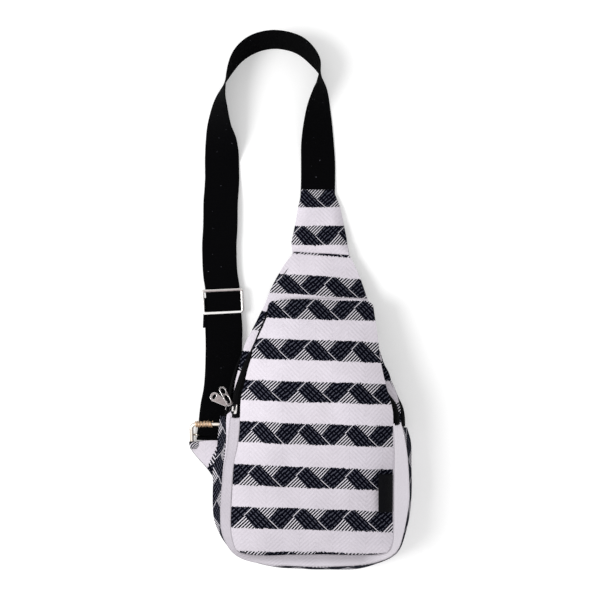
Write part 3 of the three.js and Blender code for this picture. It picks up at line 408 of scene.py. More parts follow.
def plated_wire(name, middle, rim, roughness):
    """Polished round wire: a painted highlight, near white, where it faces the eye, and brown towards its sides."""
    sh = Shader(name, roughness=roughness, metallic=1.0)
    # Painted highlight: the facing share mixes the near-white middle colour in where the wire faces the eye.
    facing = sh.nodes.new("ShaderNodeLayerWeight")
    facing.inputs["Blend"].default_value = 0.5
    side = sh.math("POWER", facing.outputs["Facing"], 0.8)
    worn = sh.mix(sh.noise(330.0, 3.0), rim, tuple(c * 0.55 for c in rim))
    fine = sh.noise(1500.0, 2.0)
    return sh.finish(sh.mix(side, middle, worn), fine, 0.00004)


def plated_shaded_below(name, level, axis):
    """Bright nickel above a level, in metres along an axis, and painted shade, almost black, below it."""
    sh = Shader(name, roughness=0.28, metallic=1.0)
    split = sh.nodes.new("ShaderNodeSeparateXYZ")
    sh.links.new(sh.nodes.new("ShaderNodeTexCoord").outputs["Object"], split.inputs[0])
    # Painted shade below the level.
    low = sh.under(split.outputs[axis], level)
    tone = sh.mix(sh.noise(160.0, 4.0), (0.66, 0.63, 0.62), (0.90, 0.88, 0.87))
    return sh.finish(sh.mix(low, tone, (0.012, 0.012, 0.014)), sh.noise(1400.0), 0.00004)


nickel = plated("nickel", (0.84, 0.82, 0.80), (0.52, 0.49, 0.47), 0.26, 160.0)
# Two darker copies of the nickel for painted shade, and a near-white one for a painted highlight.
nickel_shaded = plated("nickel_shaded", (0.44, 0.39, 0.39), (0.28, 0.25, 0.25), 0.45, 300.0)
nickel_deep_shaded = plated("nickel_deep_shaded", (0.27, 0.235, 0.235), (0.12, 0.105, 0.105), 0.45, 300.0)
nickel_highlighted = plated("nickel_highlighted", (0.97, 0.96, 0.95), (0.80, 0.78, 0.77), 0.2, 160.0)
old_gold = plated_wire("old_gold", (0.93, 0.87, 0.80), (0.36, 0.24, 0.13), 0.3)
gilding_metal = plated("gilding", (0.93, 0.69, 0.46), (0.16, 0.09, 0.07), 0.4, 900.0)
print("metals", nickel.name, nickel_shaded.name, nickel_deep_shaded.name, nickel_highlighted.name, old_gold.name, gilding_metal.name)

# %% [markdown]
# ## Heights
# Straight from above, no depth can be measured. The heights come from the CAD: the main compartment is
# about 41 mm deep and the pocket stands 30 mm higher. Both get thinner towards the neck.

# %% Heights and outlines
ROWS = [252, 300, 347, 400, 420, 480, 570]


def seam_z(py):
    """The seam round the main front."""
    return np.interp(py, ROWS, [11, 22.5, 28, 32, 35, 36.5, 36])


def main_z(py):
    """The middle of the main front."""
    return np.interp(py, ROWS, [15.5, 32, 39.5, 43.5, 44.5, 45, 44])


def pocket_seam_z(py):
    return np.interp(py, ROWS, [30, 37, 48, 58, 60, 61.5, 61])


def pocket_z(py):
    return np.interp(py, ROWS, [40, 48, 61, 71.5, 73, 74, 72])


def spline(points, count):
    """count points along a smooth curve through the given ones, of any number of coordinates."""
    p = np.array(points, float)
    p = np.vstack([2 * p[0] - p[1], p, 2 * p[-1] - p[-2]])
    where = np.linspace(0, len(p) - 3 - 1e-9, count)
    i = where.astype(int)
    f = (where - i)[:, None]
    a, b, c, d = p[i], p[i + 1], p[i + 2], p[i + 3]
    return 0.5 * (2 * b + (c - a) * f + (2 * a - 5 * b + 4 * c - d) * f**2 + (3 * b - a - 3 * c + d) * f**3)


def track(*points):
    """px as a function of py, through points that run down the picture."""
    dense = spline(points, 400)
    return lambda py: np.interp(py, dense[:, 1], dense[:, 0])


def ease(x):
    x = np.clip(x, 0, 1)
    return x * x * (3 - 2 * x)


print("heights at row 480", [float(z(480)) for z in (seam_z, main_z, pocket_seam_z, pocket_z)])


# %% [markdown]
# ## Cloth from a grid
# Every cloth piece is a grid of points with its own thread coordinates. `crumple` moves each point by
# smooth noise that depends only on its place, so two pieces that share a seam still meet after it.
# Solidify gives the cloth its thickness.

# %% Cloth helper
BAND_STEP = 42
FIRST_STEP = 39


def crumple(p, amount=1.0):
    wide = noise.noise_vector(p / 0.055) * 1.1
    small = noise.noise_vector(p / 0.021 + Vector((7, 3, 1))) * 0.45
    moved = p + (wide + small) * (amount * MM)
    moved.z = max(moved.z, 0.0003)
    return moved


def cloth(name, grid, uv, material, body="bag", thick=1.2, rough=1.0, turn=False):
    """A sheet of cloth from rows of points and the same rows of thread coordinates."""
    rows, cols = len(grid), len(grid[0])
    points = [crumple(Vector(p), rough) for row in grid for p in row]
    faces = []
    for i in range(rows - 1):
        for j in range(cols - 1):
            a = i * cols + j
            face = (a, a + cols, a + cols + 1, a + 1)
            faces.append(face[::-1] if turn else face)
    mesh = bpy.data.meshes.new(name)
    mesh.from_pydata(points, [], faces)
    layer = mesh.uv_layers.new(name="threads")
    flat = [c for row in uv for c in row]
    for loop in mesh.loops:
        layer.data[loop.index].uv = flat[loop.vertex_index]
    mesh.polygons.foreach_set("use_smooth", [True] * len(mesh.polygons))
    mesh.materials.append(material)
    obj = bpy.data.objects.new(name, mesh)
    bpy.context.scene.collection.objects.link(obj)
    thickness = obj.modifiers.new("thickness", "SOLIDIFY")
    thickness.thickness = thick * MM
    thickness.offset = -1
    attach(obj, body)
    return obj


def stripes(px, py, tilt, bands):
    """Thread coordinates of a pixel on a striped panel. bands are (middle row, where a repeat starts, repeat)."""
    row = py - tilt * (px - 320)
    centres = [band[0] for band in bands]
    first = centres[0] - FIRST_STEP
    v = np.interp(row, [first - BAND_STEP, first, *centres, centres[-1] + BAND_STEP / 2],
                  [-2, -1, *range(len(centres)), len(centres) - 0.5])
    _, start, repeat = bands[int(np.clip(round(float(v)), 0, len(bands) - 1))]
    return (px - start) / repeat, v


# %% [markdown]
# ## The panels
# A panel is drawn row by row from its left to its right edge. Its edges lie at the seam and its middle is
# puffed up, faster beside the seam and then gently, as over a light filling.

# %% Panel helper


def panel(name, left, right, top, bottom, edge_z, middle_z, uv_of, rows=110, cols=64, rough=1.0, reach=50,
          slant=lambda py: 0.0, turn=False):
    grid, uv = [], []
    for i in range(rows + 1):
        share = i / rows
        base = top + (bottom - top) * share
        line, threads = [], []
        for j in range(cols + 1):
            a = 0.5 - 0.5 * math.cos(math.pi * j / cols)
            px = left(base) + (right(base) - left(base)) * a
            py = base + slant(base) * (px - 320)
            side = min(px - left(base), right(base) - px)
            end = min(base - top, bottom - base)
            puff = (1 - (1 - min(1, side / reach)) ** 2) * (1 - (1 - min(1, end / reach)) ** 2)
            z = edge_z(py) + (middle_z(py) - edge_z(py)) * puff
            line.append(spot(px, py, float(z)))
            threads.append(uv_of(px, py))
        grid.append(line)
        uv.append(threads)
    return cloth(name, grid, uv, striped, rough=rough, turn=turn)


# %% [markdown]
# ## Pocket front
# The pocket's front is the largest thing in the picture: six dark bands on off-white, a nearly straight
# right side and a left side that swells outwards below the zip. Its corners at the bottom are round.

# %% Pocket front
pocket_left = track(
    (290, 298.3), (277, 299.3), (270.5, 301.5), (268, 306), (267.6, 313), (265.6, 319), (261.5, 329), (256.5, 340),
    (253, 349), (251.5, 357), (247.5, 370), (244.5, 383), (241.5, 395), (240.3, 406), (240, 418), (238, 444),
    (233.4, 467), (231, 507), (231.3, 527), (233.2, 540), (237, 550), (243, 553.2), (255, 554.6))
pocket_right = track(
    (351, 298.5), (362, 299.6), (369, 301.5), (372.6, 305), (374, 312), (375.4, 320), (379, 344), (381, 360),
    (384.4, 379), (389, 397), (392, 409), (392.8, 418), (392.8, 446), (392.5, 477), (392.5, 530), (391.6, 543),
    (388, 551), (382, 553.6), (372, 554.6))
POCKET_BANDS = [(309, 6.5, 48), (350.4, 4, 48), (392, 35.5, 50), (434.5, 4.5, 47), (478, 40, 49), (519.5, 31.5, 50),
                (562.9, 20, 50)]
pocket_front = panel("pocket_front", pocket_left, pocket_right, 298.3, 554.6, pocket_seam_z, pocket_z,
                     lambda px, py: stripes(px, py, np.interp(py, [535, 553], [0.033, 0.020]), POCKET_BANDS))
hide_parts("pocket_front_panel")
print("pocket front", [round(v, 4) for v in pocket_front.dimensions])

# %% [markdown]
# ## Main front
# The larger panel under the pocket. It shows above the pocket and as a narrow margin beside it. It is made
# whole, as on the real bag, so that it also shows between pocket and zip from the side.

# %% Main front
main_left = track(
    (293, 254), (285.6, 263), (279.5, 272.6), (271.8, 287), (265.7, 302.5), (260.5, 313), (252, 330), (244, 347),
    (238.5, 367), (234.5, 383), (232.6, 400), (231.6, 410), (227.2, 414.6), (226.6, 430), (226.4, 440), (225, 452),
    (222.5, 472), (221.6, 483), (221, 510), (222.4, 529), (228.5, 545), (238, 555), (252, 561.5), (273, 566))
main_right = track(
    (349, 254), (355, 266), (360.6, 279.5), (366, 297), (371.5, 310), (376, 333), (380.2, 352.5), (384.6, 363),
    (389.6, 372.5), (392.2, 382), (396.4, 392.5), (398.6, 401.3), (400.6, 409), (401, 416), (401.4, 424),
    (405.6, 454), (408.6, 489), (405.6, 524), (400.5, 546), (391, 557), (378, 562.5), (355, 566))
MAIN_BANDS = [(245.6, 10, 48), (286, 25, 48), (324.6, 12, 48), (366, 5, 48), (407, 30, 48)]
main_front = panel("main_front", main_left, main_right, 250.5, 566, seam_z, main_z,
                   lambda px, py: stripes(px, py, 0.07, MAIN_BANDS), cols=48)
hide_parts("main_front_panel")
print("main front", [round(v, 4) for v in main_front.dimensions])

# %% [markdown]
# ## Strips round an edge
# The gussets run round the bottom between two seams. A strip is drawn from pairs of points that face each
# other across it, and bulges outwards between them.

# %% Strip helper


def strip(name, pairs, from_z, to_z, bulge, material, uv_of, steps=10, count=150, rough=1.0, turn=False):
    """pairs are (px, py, px, py): a point on one seam and the point across from it on the other."""
    dense = spline(pairs, count)
    bulges = np.linspace(bulge[0], bulge[1], count)
    grid, uv = [], []
    length = 0.0
    for i, (ax, ay, bx, by) in enumerate(dense):
        if i:
            length += math.hypot(*(dense[i, 2:] - dense[i - 1, 2:]))
        near, far = spot(ax, ay, float(from_z(ay))), spot(bx, by, float(to_z(by)))
        before, after = dense[max(i - 1, 0)], dense[min(i + 1, count - 1)]
        run = Vector((after[2] - before[2], before[3] - after[3], 0)).normalized()
        out = Vector((run.y, -run.x, 0)) if turn else Vector((-run.y, run.x, 0))
        line, threads = [], []
        for k in range(steps + 1):
            share = k / steps
            push = math.sin(math.pi * share) * bulges[i] * MM
            line.append(near.lerp(far, share) + (out * 0.8 + Vector((0, 0, 0.5))) * push)
            threads.append(uv_of(length, share))
        grid.append(line)
        uv.append(threads)
    return cloth(name, grid, uv, material, rough=rough, turn=turn)


# %% [markdown]
# ## Pocket gusset
# The white strip that gives the pocket its depth. It leans outwards, so it shows from above all round the
# bottom: 10 px wide on the left and 17 px on the right. Its two ends are round where the zip stops.

# %% Pocket gusset
POCKET_STRIP = [
    (240.4, 417.6, 231.2, 417.6), (239.8, 426, 230.2, 428), (238, 444, 228, 448), (233.6, 467, 224.6, 470),
    (231.6, 490, 221.8, 492), (231, 508, 221, 511), (231.4, 526, 222.4, 529.5), (233.4, 540, 228.3, 545),
    (238, 550.4, 238, 555.2), (248, 554.2, 252, 560.6), (266, 554.8, 272, 563.8), (300, 554.8, 302, 565),
    (330, 554.8, 330, 566), (358, 554.8, 356, 565), (378, 554.2, 377, 561), (388, 551, 390.6, 555.4),
    (391.8, 542, 399.4, 545.4), (392.5, 525, 404.8, 523.6), (392.5, 500, 408.4, 500), (392.6, 477, 408.4, 477),
    (392.8, 452, 406, 452), (392.6, 434, 402.8, 433), (391.4, 423, 399.6, 422.6)]
pocket_gusset = strip("pocket_gusset", POCKET_STRIP, pocket_seam_z, lambda py: seam_z(py) + 2, (5.5, 4.5), plain,
                      lambda length, share: (length, share * 20))
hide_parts("pocket_bottom_gusset")
print("pocket gusset", [round(v, 4) for v in pocket_gusset.dimensions])

# %% [markdown]
# ## Main gusset
# The main compartment's side runs on under it, cut from a dark band of the cloth. From above only the part
# between its seam and its widest line shows; below that it turns in towards the back panel.

# %% Main gusset
MAIN_STRIP = [
    (226.4, 416, 221.7, 416), (226.6, 432, 219.6, 432.8), (226.4, 441, 218.8, 440.3), (225, 453, 217.9, 450.3),
    (222.9, 470, 213.5, 471), (221.8, 483, 213.4, 482), (221, 511, 213.4, 512),
    (222.8, 530, 219.6, 531), (229, 544, 228.4, 544.6), (240, 554, 239.6, 554.8), (255, 560.6, 254.8, 561.4),
    (275, 564, 275, 565.8), (300, 565.4, 300, 567.2), (330, 566.4, 330, 568.6), (355, 565.6, 356, 568),
    (375, 561.2, 376, 563), (390, 555, 391.2, 556.6), (399, 545, 400.4, 546), (404.6, 523.6, 406.8, 525),
    (407.8, 503, 410.2, 504), (408, 475, 411, 474.5), (405.2, 448, 410.2, 444), (401.6, 427, 406, 428)]
WIDEST_Z = 20.0


def gusset_uv(length, share):
    return length / REPEAT, -0.20 + share * 0.4


upper_gusset = strip("main_gusset", MAIN_STRIP, seam_z, lambda py: WIDEST_Z, (1.0, 1.0), striped, gusset_uv)
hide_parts("main_bottom_gusset")

UNDER_STRIP = [(c, d, 310 + (c - 310) * 0.90, 470 + (d - 470) * 0.90) for _, _, c, d in MAIN_STRIP]
lower_gusset = strip("main_gusset_under", UNDER_STRIP, lambda py: WIDEST_Z, lambda py: 3.0, (1.5, 1.5), striped,
                     lambda length, share: (length / REPEAT, 0.28 + share * 0.5))
print("main gusset", [round(v, 4) for v in upper_gusset.dimensions], [round(v, 4) for v in lower_gusset.dimensions])

# %% [markdown]
# ## Back panel
# The flat side that the bag lies on. It isn't in the photo: it is taken to be the same striped cloth. The
# panel helper draws it too, turned over so that its thickness goes inwards.

# %% Back panel
BACK_BANDS = [(row, 10, 48) for row in range(245, 600, BAND_STEP)]


def shrunk(side):
    return lambda py: 312 + (side(py) - 312) * 0.90


back = panel("back_panel_cloth", shrunk(main_left), shrunk(main_right), 256, 560, lambda py: 3.0, lambda py: 0.6,
             lambda px, py: stripes(px, py, 0.0, BACK_BANDS), rows=70, cols=30, rough=0.5, turn=True)
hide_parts("back_panel")
print("back panel bands", len(BACK_BANDS))

# %% [markdown]
# ## Zips
# Both zips are black. The pocket's zip shows as a black band on the left and a wedge on the right; the main
# zip is seen almost edge-on. A zip is two tapes with a coil between them, here a ribbon with a raised coil.

# %% Zips


def zip_run(name, path, node_names, width=10.0):
    """path rows are (px, py, z, lean) from one end over the top to the other; lean 0 lies flat, 1 stands."""
    dense = spline(path, 170)
    grid, uv = [], []
    length = 0.0
    half = [(0.04, 0.9), (0.2, 0.9), (0.24, 0.0), (0.5, 0.0)]
    profile = [(-a, b) for a, b in half[::-1]] + [(0.0, 0.35)] + half
    for i, (px, py, z, lean) in enumerate(dense):
        here = spot(px, py, z)
        before, after = dense[max(i - 1, 0)], dense[min(i + 1, len(dense) - 1)]
        run = (spot(*after[:3]) - spot(*before[:3])).normalized()
        length += (spot(*after[:3]) - spot(*before[:3])).length * 500
        out = Vector((-run.y, run.x, 0)).normalized()
        angle = lean * math.pi / 2
        across = out * math.cos(angle) - Vector((0, 0, 1)) * math.sin(angle)
        face = run.cross(across).normalized()
        face = -face if face.dot(out + Vector((0, 0, 0.3))) < 0 else face
        grid.append([here + across * (a * width * MM) + face * (b * MM) for a, b in profile])
        uv.append([(a * width, length) for a, _ in profile])
    made = cloth(name, grid, uv, tape, thick=0.8, rough=0.4)
    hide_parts(*node_names)
    return made


POCKET_ZIP = [
    (236.0, 418, 46, 0.30), (236.2, 408, 45.6, 0.30), (237.0, 395, 44.6, 0.32), (240.6, 383, 43.8, 0.35),
    (244.6, 370, 42.6, 0.45), (249.2, 357, 41, 0.7), (253.6, 346, 39.5, 0.95), (259, 333, 38, 1.0), (266, 316, 35, 1.0),
    (270, 306, 33, 1.0), (279, 301.2, 32, 1.0), (300, 300.4, 32, 1.0), (321, 300.4, 32, 1.0), (345, 300.8, 32, 1.0),
    (361, 302.4, 32, 1.0), (368.5, 307, 33, 1.0), (371, 318, 35, 1.0), (374, 340, 38.5, 1.0), (376.6, 360, 41, 1.0),
    (380.6, 379, 43, 1.0), (387.4, 393, 44, 0.9), (393.6, 404, 45, 0.66), (396.6, 414, 46, 0.6), (397.6, 425, 46, 0.6)]
MAIN_ZIP = [
    (226, 420, 25, 0.75), (226.6, 409, 25.6, 0.75), (229.6, 392, 25.5, 0.8), (234.6, 372, 24.5, 0.9),
    (245, 347, 22.5, 1.0), (254.5, 329, 20, 1.0), (263.5, 311, 18.5, 1.0), (268.6, 301, 17.6, 1.0), (276, 287, 15, 1.0),
    (284.5, 273, 12.0, 1.0), (292, 264.5, 9.5, 1.0), (299, 259, 8, 1.0), (307, 257.3, 7.5, 1.0),
    (321, 257.6, 7.5, 1.0), (336, 259, 7.5, 1.0), (343.5, 262, 8, 1.0), (349.6, 269, 9.5, 1.0),
    (355.6, 281, 12.5, 1.0), (361.8, 298, 16.5, 1.0), (369.4, 312, 19.5, 1.0), (374.4, 335, 22, 1.0),
    (380.6, 362, 24.5, 1.0),
    (390.6, 381, 26.5, 0.95), (397, 397, 28, 0.8), (401, 408, 29, 0.62), (402.6, 417, 29.5, 0.6), (403, 427, 29.5, 0.6)]
pocket_zip = zip_run("pocket_zip_tape", POCKET_ZIP, ["pocket_zip_back_tape", "pocket_zip_front_tape"])
main_zip = zip_run("main_zip_tape", MAIN_ZIP, ["main_zip_back_tape", "main_zip_front_tape"])
print("zip rows", len(POCKET_ZIP), len(MAIN_ZIP))

# %% [markdown]
# ## Side of the main compartment
# Behind the main zip the side goes on down to the back panel. It can't be seen from above. It turns well in,
# so that the strap's slide has room beside it when it is pulled down.

# %% Side gusset
SIDE_STRIP = [(px, py, 315 + (px - 315) * 0.83, py + 1.5) for px, py, _, _ in MAIN_ZIP[::2]]


def main_zip_low(py):
    return np.interp(py, [253, 300, 350, 420], [6.5, 12.5, 18, 21])


side_gusset = strip("main_side", SIDE_STRIP, main_zip_low, lambda py: 2.5, (4.5, 4.5), striped,
                    lambda length, share: (length / REPEAT, 0.1 + share * 0.35), turn=True)
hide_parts("main_side_gusset")
print("side gusset", [round(v, 4) for v in side_gusset.dimensions])

# %% [markdown]
# ## Neck
# The narrow piece that joins the bag to the strap. It holds the strap's end between its two layers, a puffed
# one above and a flat one below. Its lower hem slants, which `slant` gives by moving rows with px.

# %% Neck
neck_left = track((301.3, 189.3), (300.4, 197), (298, 207.6), (296.4, 217), (294.9, 226), (293.2, 235), (291.7, 243),
                  (292, 250), (293, 254.5))
neck_right = track((333.2, 189.3), (336.4, 198), (340, 207.6), (342.2, 217), (344, 226), (345.9, 235), (347.2, 243),
                   (348.6, 250), (349, 254.5))
NECK_BANDS = [(198.2, 27.5, 43), (234.6, 19.5, 44)]


def neck_edge_z(py):
    return np.interp(py, [189, 240, 254.5], [3.2, 8.5, 14.0])


def neck_z(py):
    return np.interp(py, [189, 215, 240, 254.5], [5.2, 11.5, 16.5, 18.5])


neck = panel("neck_top", neck_left, neck_right, 189.3, 253.2, neck_edge_z, neck_z,
             lambda px, py: stripes(px, py, -0.012, NECK_BANDS), rows=44, cols=30, rough=0.6, reach=11,
             slant=lambda py: 0.055 * ease((py - 236) / 17))
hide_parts("neck_front")
neck_under = panel("neck_under", neck_left, neck_right, 189.6, 254.5, lambda py: 1.6, lambda py: 1.3,
                   lambda px, py: stripes(px, py, -0.012, NECK_BANDS), rows=30, cols=16, rough=0.2, turn=True)
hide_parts("neck_back")
print("neck", [round(v, 4) for v in neck.dimensions])

# %% [markdown]
# ## Strap
# Black webbing, 38 mm wide. It leaves the neck lying flat, stands up on its edge round the top, lies down
# again on the left and runs down over the slide to the lower buckle. Each section knows the outer edge's
# place, how far the webbing is tipped up, and which way is across.

# %% Strap sections
STRAP_WIDTH = 38.0
STRAP_THICK = 1.2
RUN_Z = 5.8


def strap_arc():
    """(x, y, tilt) of the outer edge on the floor, in the photo's millimetres."""
    return spline([
        (38.3, 107, 0), (39, 138, 0), (38, 171, 14), (33.5, 210, 44), (30.2, 231, 64), (26.8, 241.5, 76),
        (20.5, 253, 92), (13, 261.6, 100), (1.1, 272, 104), (-11.2, 277.9, 104), (-26.8, 280.6, 104),
        (-41.4, 278.8, 104), (-53.7, 273.9, 103), (-65, 266, 99), (-74, 255.5, 93), (-83.5, 241.5, 82),
        (-95, 222, 64), (-102.2, 197, 43), (-105, 176, 18), (-106, 156, 0)], 220)


def strap_sections():
    made = []
    arc = strap_arc()
    for i, (x, y, tilt) in enumerate(arc):
        before, after = arc[max(i - 1, 0)], arc[min(i + 1, len(arc) - 1)]
        run = Vector((after[0] - before[0], after[1] - before[1], 0)).normalized()
        angle = math.radians(max(0.0, tilt))
        across = Vector((-run.y * math.cos(angle), run.x * math.cos(angle), math.sin(angle)))
        up = run.cross(across)
        tuck = (1 - ease((y - 118) / 22)) if x > 0 else 0.0
        base = tuck * 1.6 + max(0.0, -up.z * STRAP_THICK)
        place = Vector((x + MIDDLE[0], y + MIDDLE[1], base)) * MM
        made.append((place, across, up))
    leg = spline([
        (222.2, 178, 1.0), (221.6, 190, 3.2), (220.6, 206, RUN_Z), (220.2, 230, RUN_Z), (219.4, 249, RUN_Z),
        (220.2, 272, RUN_Z), (222.6, 290, RUN_Z), (224.2, 315, RUN_Z), (225.2, 330, RUN_Z), (224.8, 358, RUN_Z),
        (222.8, 383, RUN_Z), (219.6, 407, RUN_Z), (216.6, 420, RUN_Z), (213.8, 437.3, RUN_Z)], 160)
    for i, (px, py, z) in enumerate(leg):
        before, after = leg[max(i - 1, 0)], leg[min(i + 1, len(leg) - 1)]
        run = (spot(*after) - spot(*before)).normalized()
        across = Vector((-run.y, run.x, 0)).normalized()
        made.append((spot(px, py, min(z, RUN_Z)) - across * (STRAP_WIDTH / 2 * MM), across, run.cross(across)))
    return made


def ribbon(name, sections, material, width=STRAP_WIDTH, thick=STRAP_THICK, cols=16, wave=0.5, body="bag"):
    """A closed strap of webbing with soft edges, drawn through sections of (edge point, across, up)."""
    ring = [(j / cols, 1.0) for j in range(cols + 1)] + [(1.004, 0.5)]
    ring += [(1 - j / cols, 0.0) for j in range(cols + 1)] + [(-0.004, 0.5)]
    points, threads = [], []
    length = 0.0
    for i, (place, across, up) in enumerate(sections):
        if i:
            length += (place - sections[i - 1][0]).length / MM
        ripple = noise.noise(Vector((length / 34, 0.3, 0.7))) * wave
        for a, b in ring:
            bow = noise.noise(Vector((length / 26, a * 2.2, 4.0))) * wave * 0.35
            point = place + across * ((a * width + ripple) * MM) + up * ((b * thick + bow * abs(up.z)) * MM)
            point.z = max(point.z, 0.0002)
            points.append(point)
            threads.append((a * width, length))
    n = len(ring)
    faces = []
    for i in range(len(sections) - 1):
        for k in range(n):
            faces.append((i * n + k, i * n + (k + 1) % n, (i + 1) * n + (k + 1) % n, (i + 1) * n + k))
    last = (len(sections) - 1) * n
    faces += [tuple(range(n))[::-1], tuple(range(last, last + n))]
    mesh = bpy.data.meshes.new(name)
    mesh.from_pydata(points, [], faces)
    layer = mesh.uv_layers.new(name="threads")
    for loop in mesh.loops:
        layer.data[loop.index].uv = threads[loop.vertex_index]
    mesh.polygons.foreach_set("use_smooth", [len(p.vertices) == 4 for p in mesh.polygons])
    mesh.materials.append(material)
    obj = bpy.data.objects.new(name, mesh)
    bpy.context.scene.collection.objects.link(obj)
    if body:
        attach(obj, body)
    return obj


strap = ribbon("strap", strap_sections(), webbing)
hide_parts("strap_webbing")
print("strap points", len(strap.data.vertices))

# %% [markdown]
# ## The strap's lower end
# The webbing loops round the buckle's middle bar and comes back up under itself. Its end is wrapped round
# the slide's middle bar and sewn down. The run between them belongs to two bodies and is attached to
# neither.

# %% Loop, under run and sewn end
LOOP_Y = -152.6 + MIDDLE[1]
UNDER_Z = 1.2
LOOP_X = spot(213.8, 437.3, RUN_Z).x / MM - STRAP_WIDTH / 2


def turn_sections(x, y, middle, radius, from_angle, to_angle, steps):
    made = []
    for i in range(steps + 1):
        angle = math.radians(from_angle + (to_angle - from_angle) * i / steps)
        up = Vector((0, math.cos(angle), math.sin(angle)))
        made.append((Vector((x, y, middle)) * MM + up * (radius * MM), Vector((1, 0, 0)), up))
    return made


loop = ribbon("strap_loop", turn_sections(LOOP_X, LOOP_Y, 3.5, 2.3, 90, 270, 16), webbing, wave=0.0)


def straight_sections(path, up):
    """path rows are (left x, y, z) in frame millimetres."""
    return [(Vector(p) * MM, Vector((1, 0, 0)), Vector((0, 0, up))) for p in spline(path, 40)]


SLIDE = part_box("strap_slide")
SLIDE_X = (SLIDE[0][0] + SLIDE[1][0]) / 2 / MM
SLIDE_Y = (SLIDE[0][1] + SLIDE[1][1]) / 2 / MM
under = ribbon("strap_under_run", straight_sections([
    (LOOP_X, LOOP_Y, UNDER_Z), (-110.5, -118, UNDER_Z), (-106.5, -95, UNDER_Z), (-104.8, -60, UNDER_Z),
    (-105.2, -30, UNDER_Z), (-106.0, -6, UNDER_Z)], -1), webbing, wave=0.2, body=None)
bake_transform(under)
SEWN_X, SEWN_LOW, SEWN_HIGH = -106.7, 2.7, 4.3
sewn = ribbon("strap_sewn_wrap", (
    straight_sections([(SEWN_X, -29, SEWN_LOW), (SEWN_X, -12, SEWN_LOW), (SEWN_X, -2.4, SEWN_LOW)], -1)
    + turn_sections(SEWN_X, SLIDE_Y + 1.4, (SEWN_LOW + SEWN_HIGH) / 2, (SEWN_HIGH - SEWN_LOW) / 2, -90, 90, 12)
    + straight_sections([(SEWN_X, -2.4, SEWN_HIGH), (SEWN_X, -14, SEWN_HIGH), (SEWN_X - 0.6, -31, SEWN_HIGH)], 1)),
    webbing, wave=0.0, body="adjuster")
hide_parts("strap_sewn_end")
print("loop at", round(LOOP_X, 2), round(LOOP_Y, 2), "slide bar at", round(SLIDE_X, 2), round(SLIDE_Y, 2))

# %% [markdown]
# ## Metal wire
# Slide and buckle are both rectangles of round wire. A bevelled curve would do; a mesh tube keeps its own
# coordinates for the worn plating, so the wire is swept here as a mesh.

# %% Wire helper


def wire(name, path, radius, material, closed=False, body="bag", sides=14):
    """A round rod through points in frame metres."""
    count = len(path)
    points, faces = [], []
    lead = None
    for i, here in enumerate(path):
        before = path[(i - 1) % count] if closed or i else here
        after = path[(i + 1) % count] if closed or i < count - 1 else here
        run = (Vector(after) - Vector(before)).normalized()
        if lead is None:
            lead = run.orthogonal().normalized()
        lead = (lead - run * lead.dot(run)).normalized()
        other = run.cross(lead)
        for k in range(sides):
            angle = 2 * math.pi * k / sides
            points.append(Vector(here) + (lead * math.cos(angle) + other * math.sin(angle)) * radius)
    rings = count if closed else count - 1
    for i in range(rings):
        j = (i + 1) % count
        for k in range(sides):
            n = (k + 1) % sides
            faces.append((i * sides + k, i * sides + n, j * sides + n, j * sides + k))
    if not closed:
        faces += [tuple(range(sides))[::-1], tuple(range((count - 1) * sides, count * sides))]
    mesh = bpy.data.meshes.new(name)
    mesh.from_pydata(points, [], faces)
    mesh.polygons.foreach_set("use_smooth", [True] * len(mesh.polygons))
    mesh.materials.append(material)
    obj = bpy.data.objects.new(name, mesh)
    bpy.context.scene.collection.objects.link(obj)
    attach(obj, body)
    return obj


def frame_path(centre, half_w, half_h, corner, turn, tip):
    """A rounded rectangle about centre, turned in plan and tipped about its width, in metres."""
    path = []
    for q, (sx, sy) in enumerate([(1, 1), (-1, 1), (-1, -1), (1, -1)]):
        for k in range(9):
            angle = (q + k / 8) * math.pi / 2
            x = sx * (half_w - corner) + corner * math.cos(angle)
            y = sy * (half_h - corner) + corner * math.sin(angle)
            flat = Vector((x, y * math.cos(tip), y * math.sin(tip)))
            path.append(centre + Vector((flat.x * math.cos(turn) - flat.y * math.sin(turn),
                                         flat.x * math.sin(turn) + flat.y * math.cos(turn), flat.z)) * MM)
    return path


# %% [markdown]
# ## Slide
# The nickel slide: two end bars lie over the webbing and the middle bar, hidden, carries the sewn end. It
# sits slightly askew on the strap. Its lower bar catches the light and is almost white, which a lamp alone
# doesn't give, so each face takes one of three copies of the nickel: a painted highlight on the lower bar,
# painted shade on the upper bar where it doesn't face up the picture, and plain nickel on the rest.

# %% Slide
SLIDE_WIRE = 0.0017
BAR_WIRE = 0.0006
slide_centre = spot(222.6, 301.4, 8.8)
slide_path = frame_path(slide_centre, 21.6, 12.4, 2.2, math.radians(2.6), 0.0)
slide_frame = wire("slide_frame", slide_path, SLIDE_WIRE, nickel, closed=True, body="adjuster")
slide_frame.data.materials.append(nickel_highlighted)
slide_frame.data.materials.append(nickel_shaded)
# Painted highlight on the lower bar, and painted shade on the upper bar's faces that don't face up the picture.
for face in slide_frame.data.polygons:
    lift = (face.center - slide_centre).y / MM
    face.material_index = 1 if lift < -10.5 else 2 if lift > 10.8 and face.normal.y < 0.2 else 0
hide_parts("strap_slide")
half = 21.4
bar_path = [Vector((SLIDE_X + s * half, SLIDE_Y, z)) * MM for s, z in
            [(-1, 8.6), (-1, 4.8), (-0.96, 3.7), (-0.85, 3.6), (0.85, 3.6), (0.96, 3.7), (1, 4.8), (1, 8.6)]]
slide_bar = wire("slide_bar", bar_path, BAR_WIRE, nickel, body="adjuster", sides=10)
print("slide at", [round(v, 4) for v in slide_centre])

# %% [markdown]
# ## Lower buckle
# The antique-gold buckle ends the strap. Its top bar lies over the webbing, its middle bar holds the loop,
# and its bottom bar is sewn into the side wing's hem. It is tipped, with the bottom bar lower.

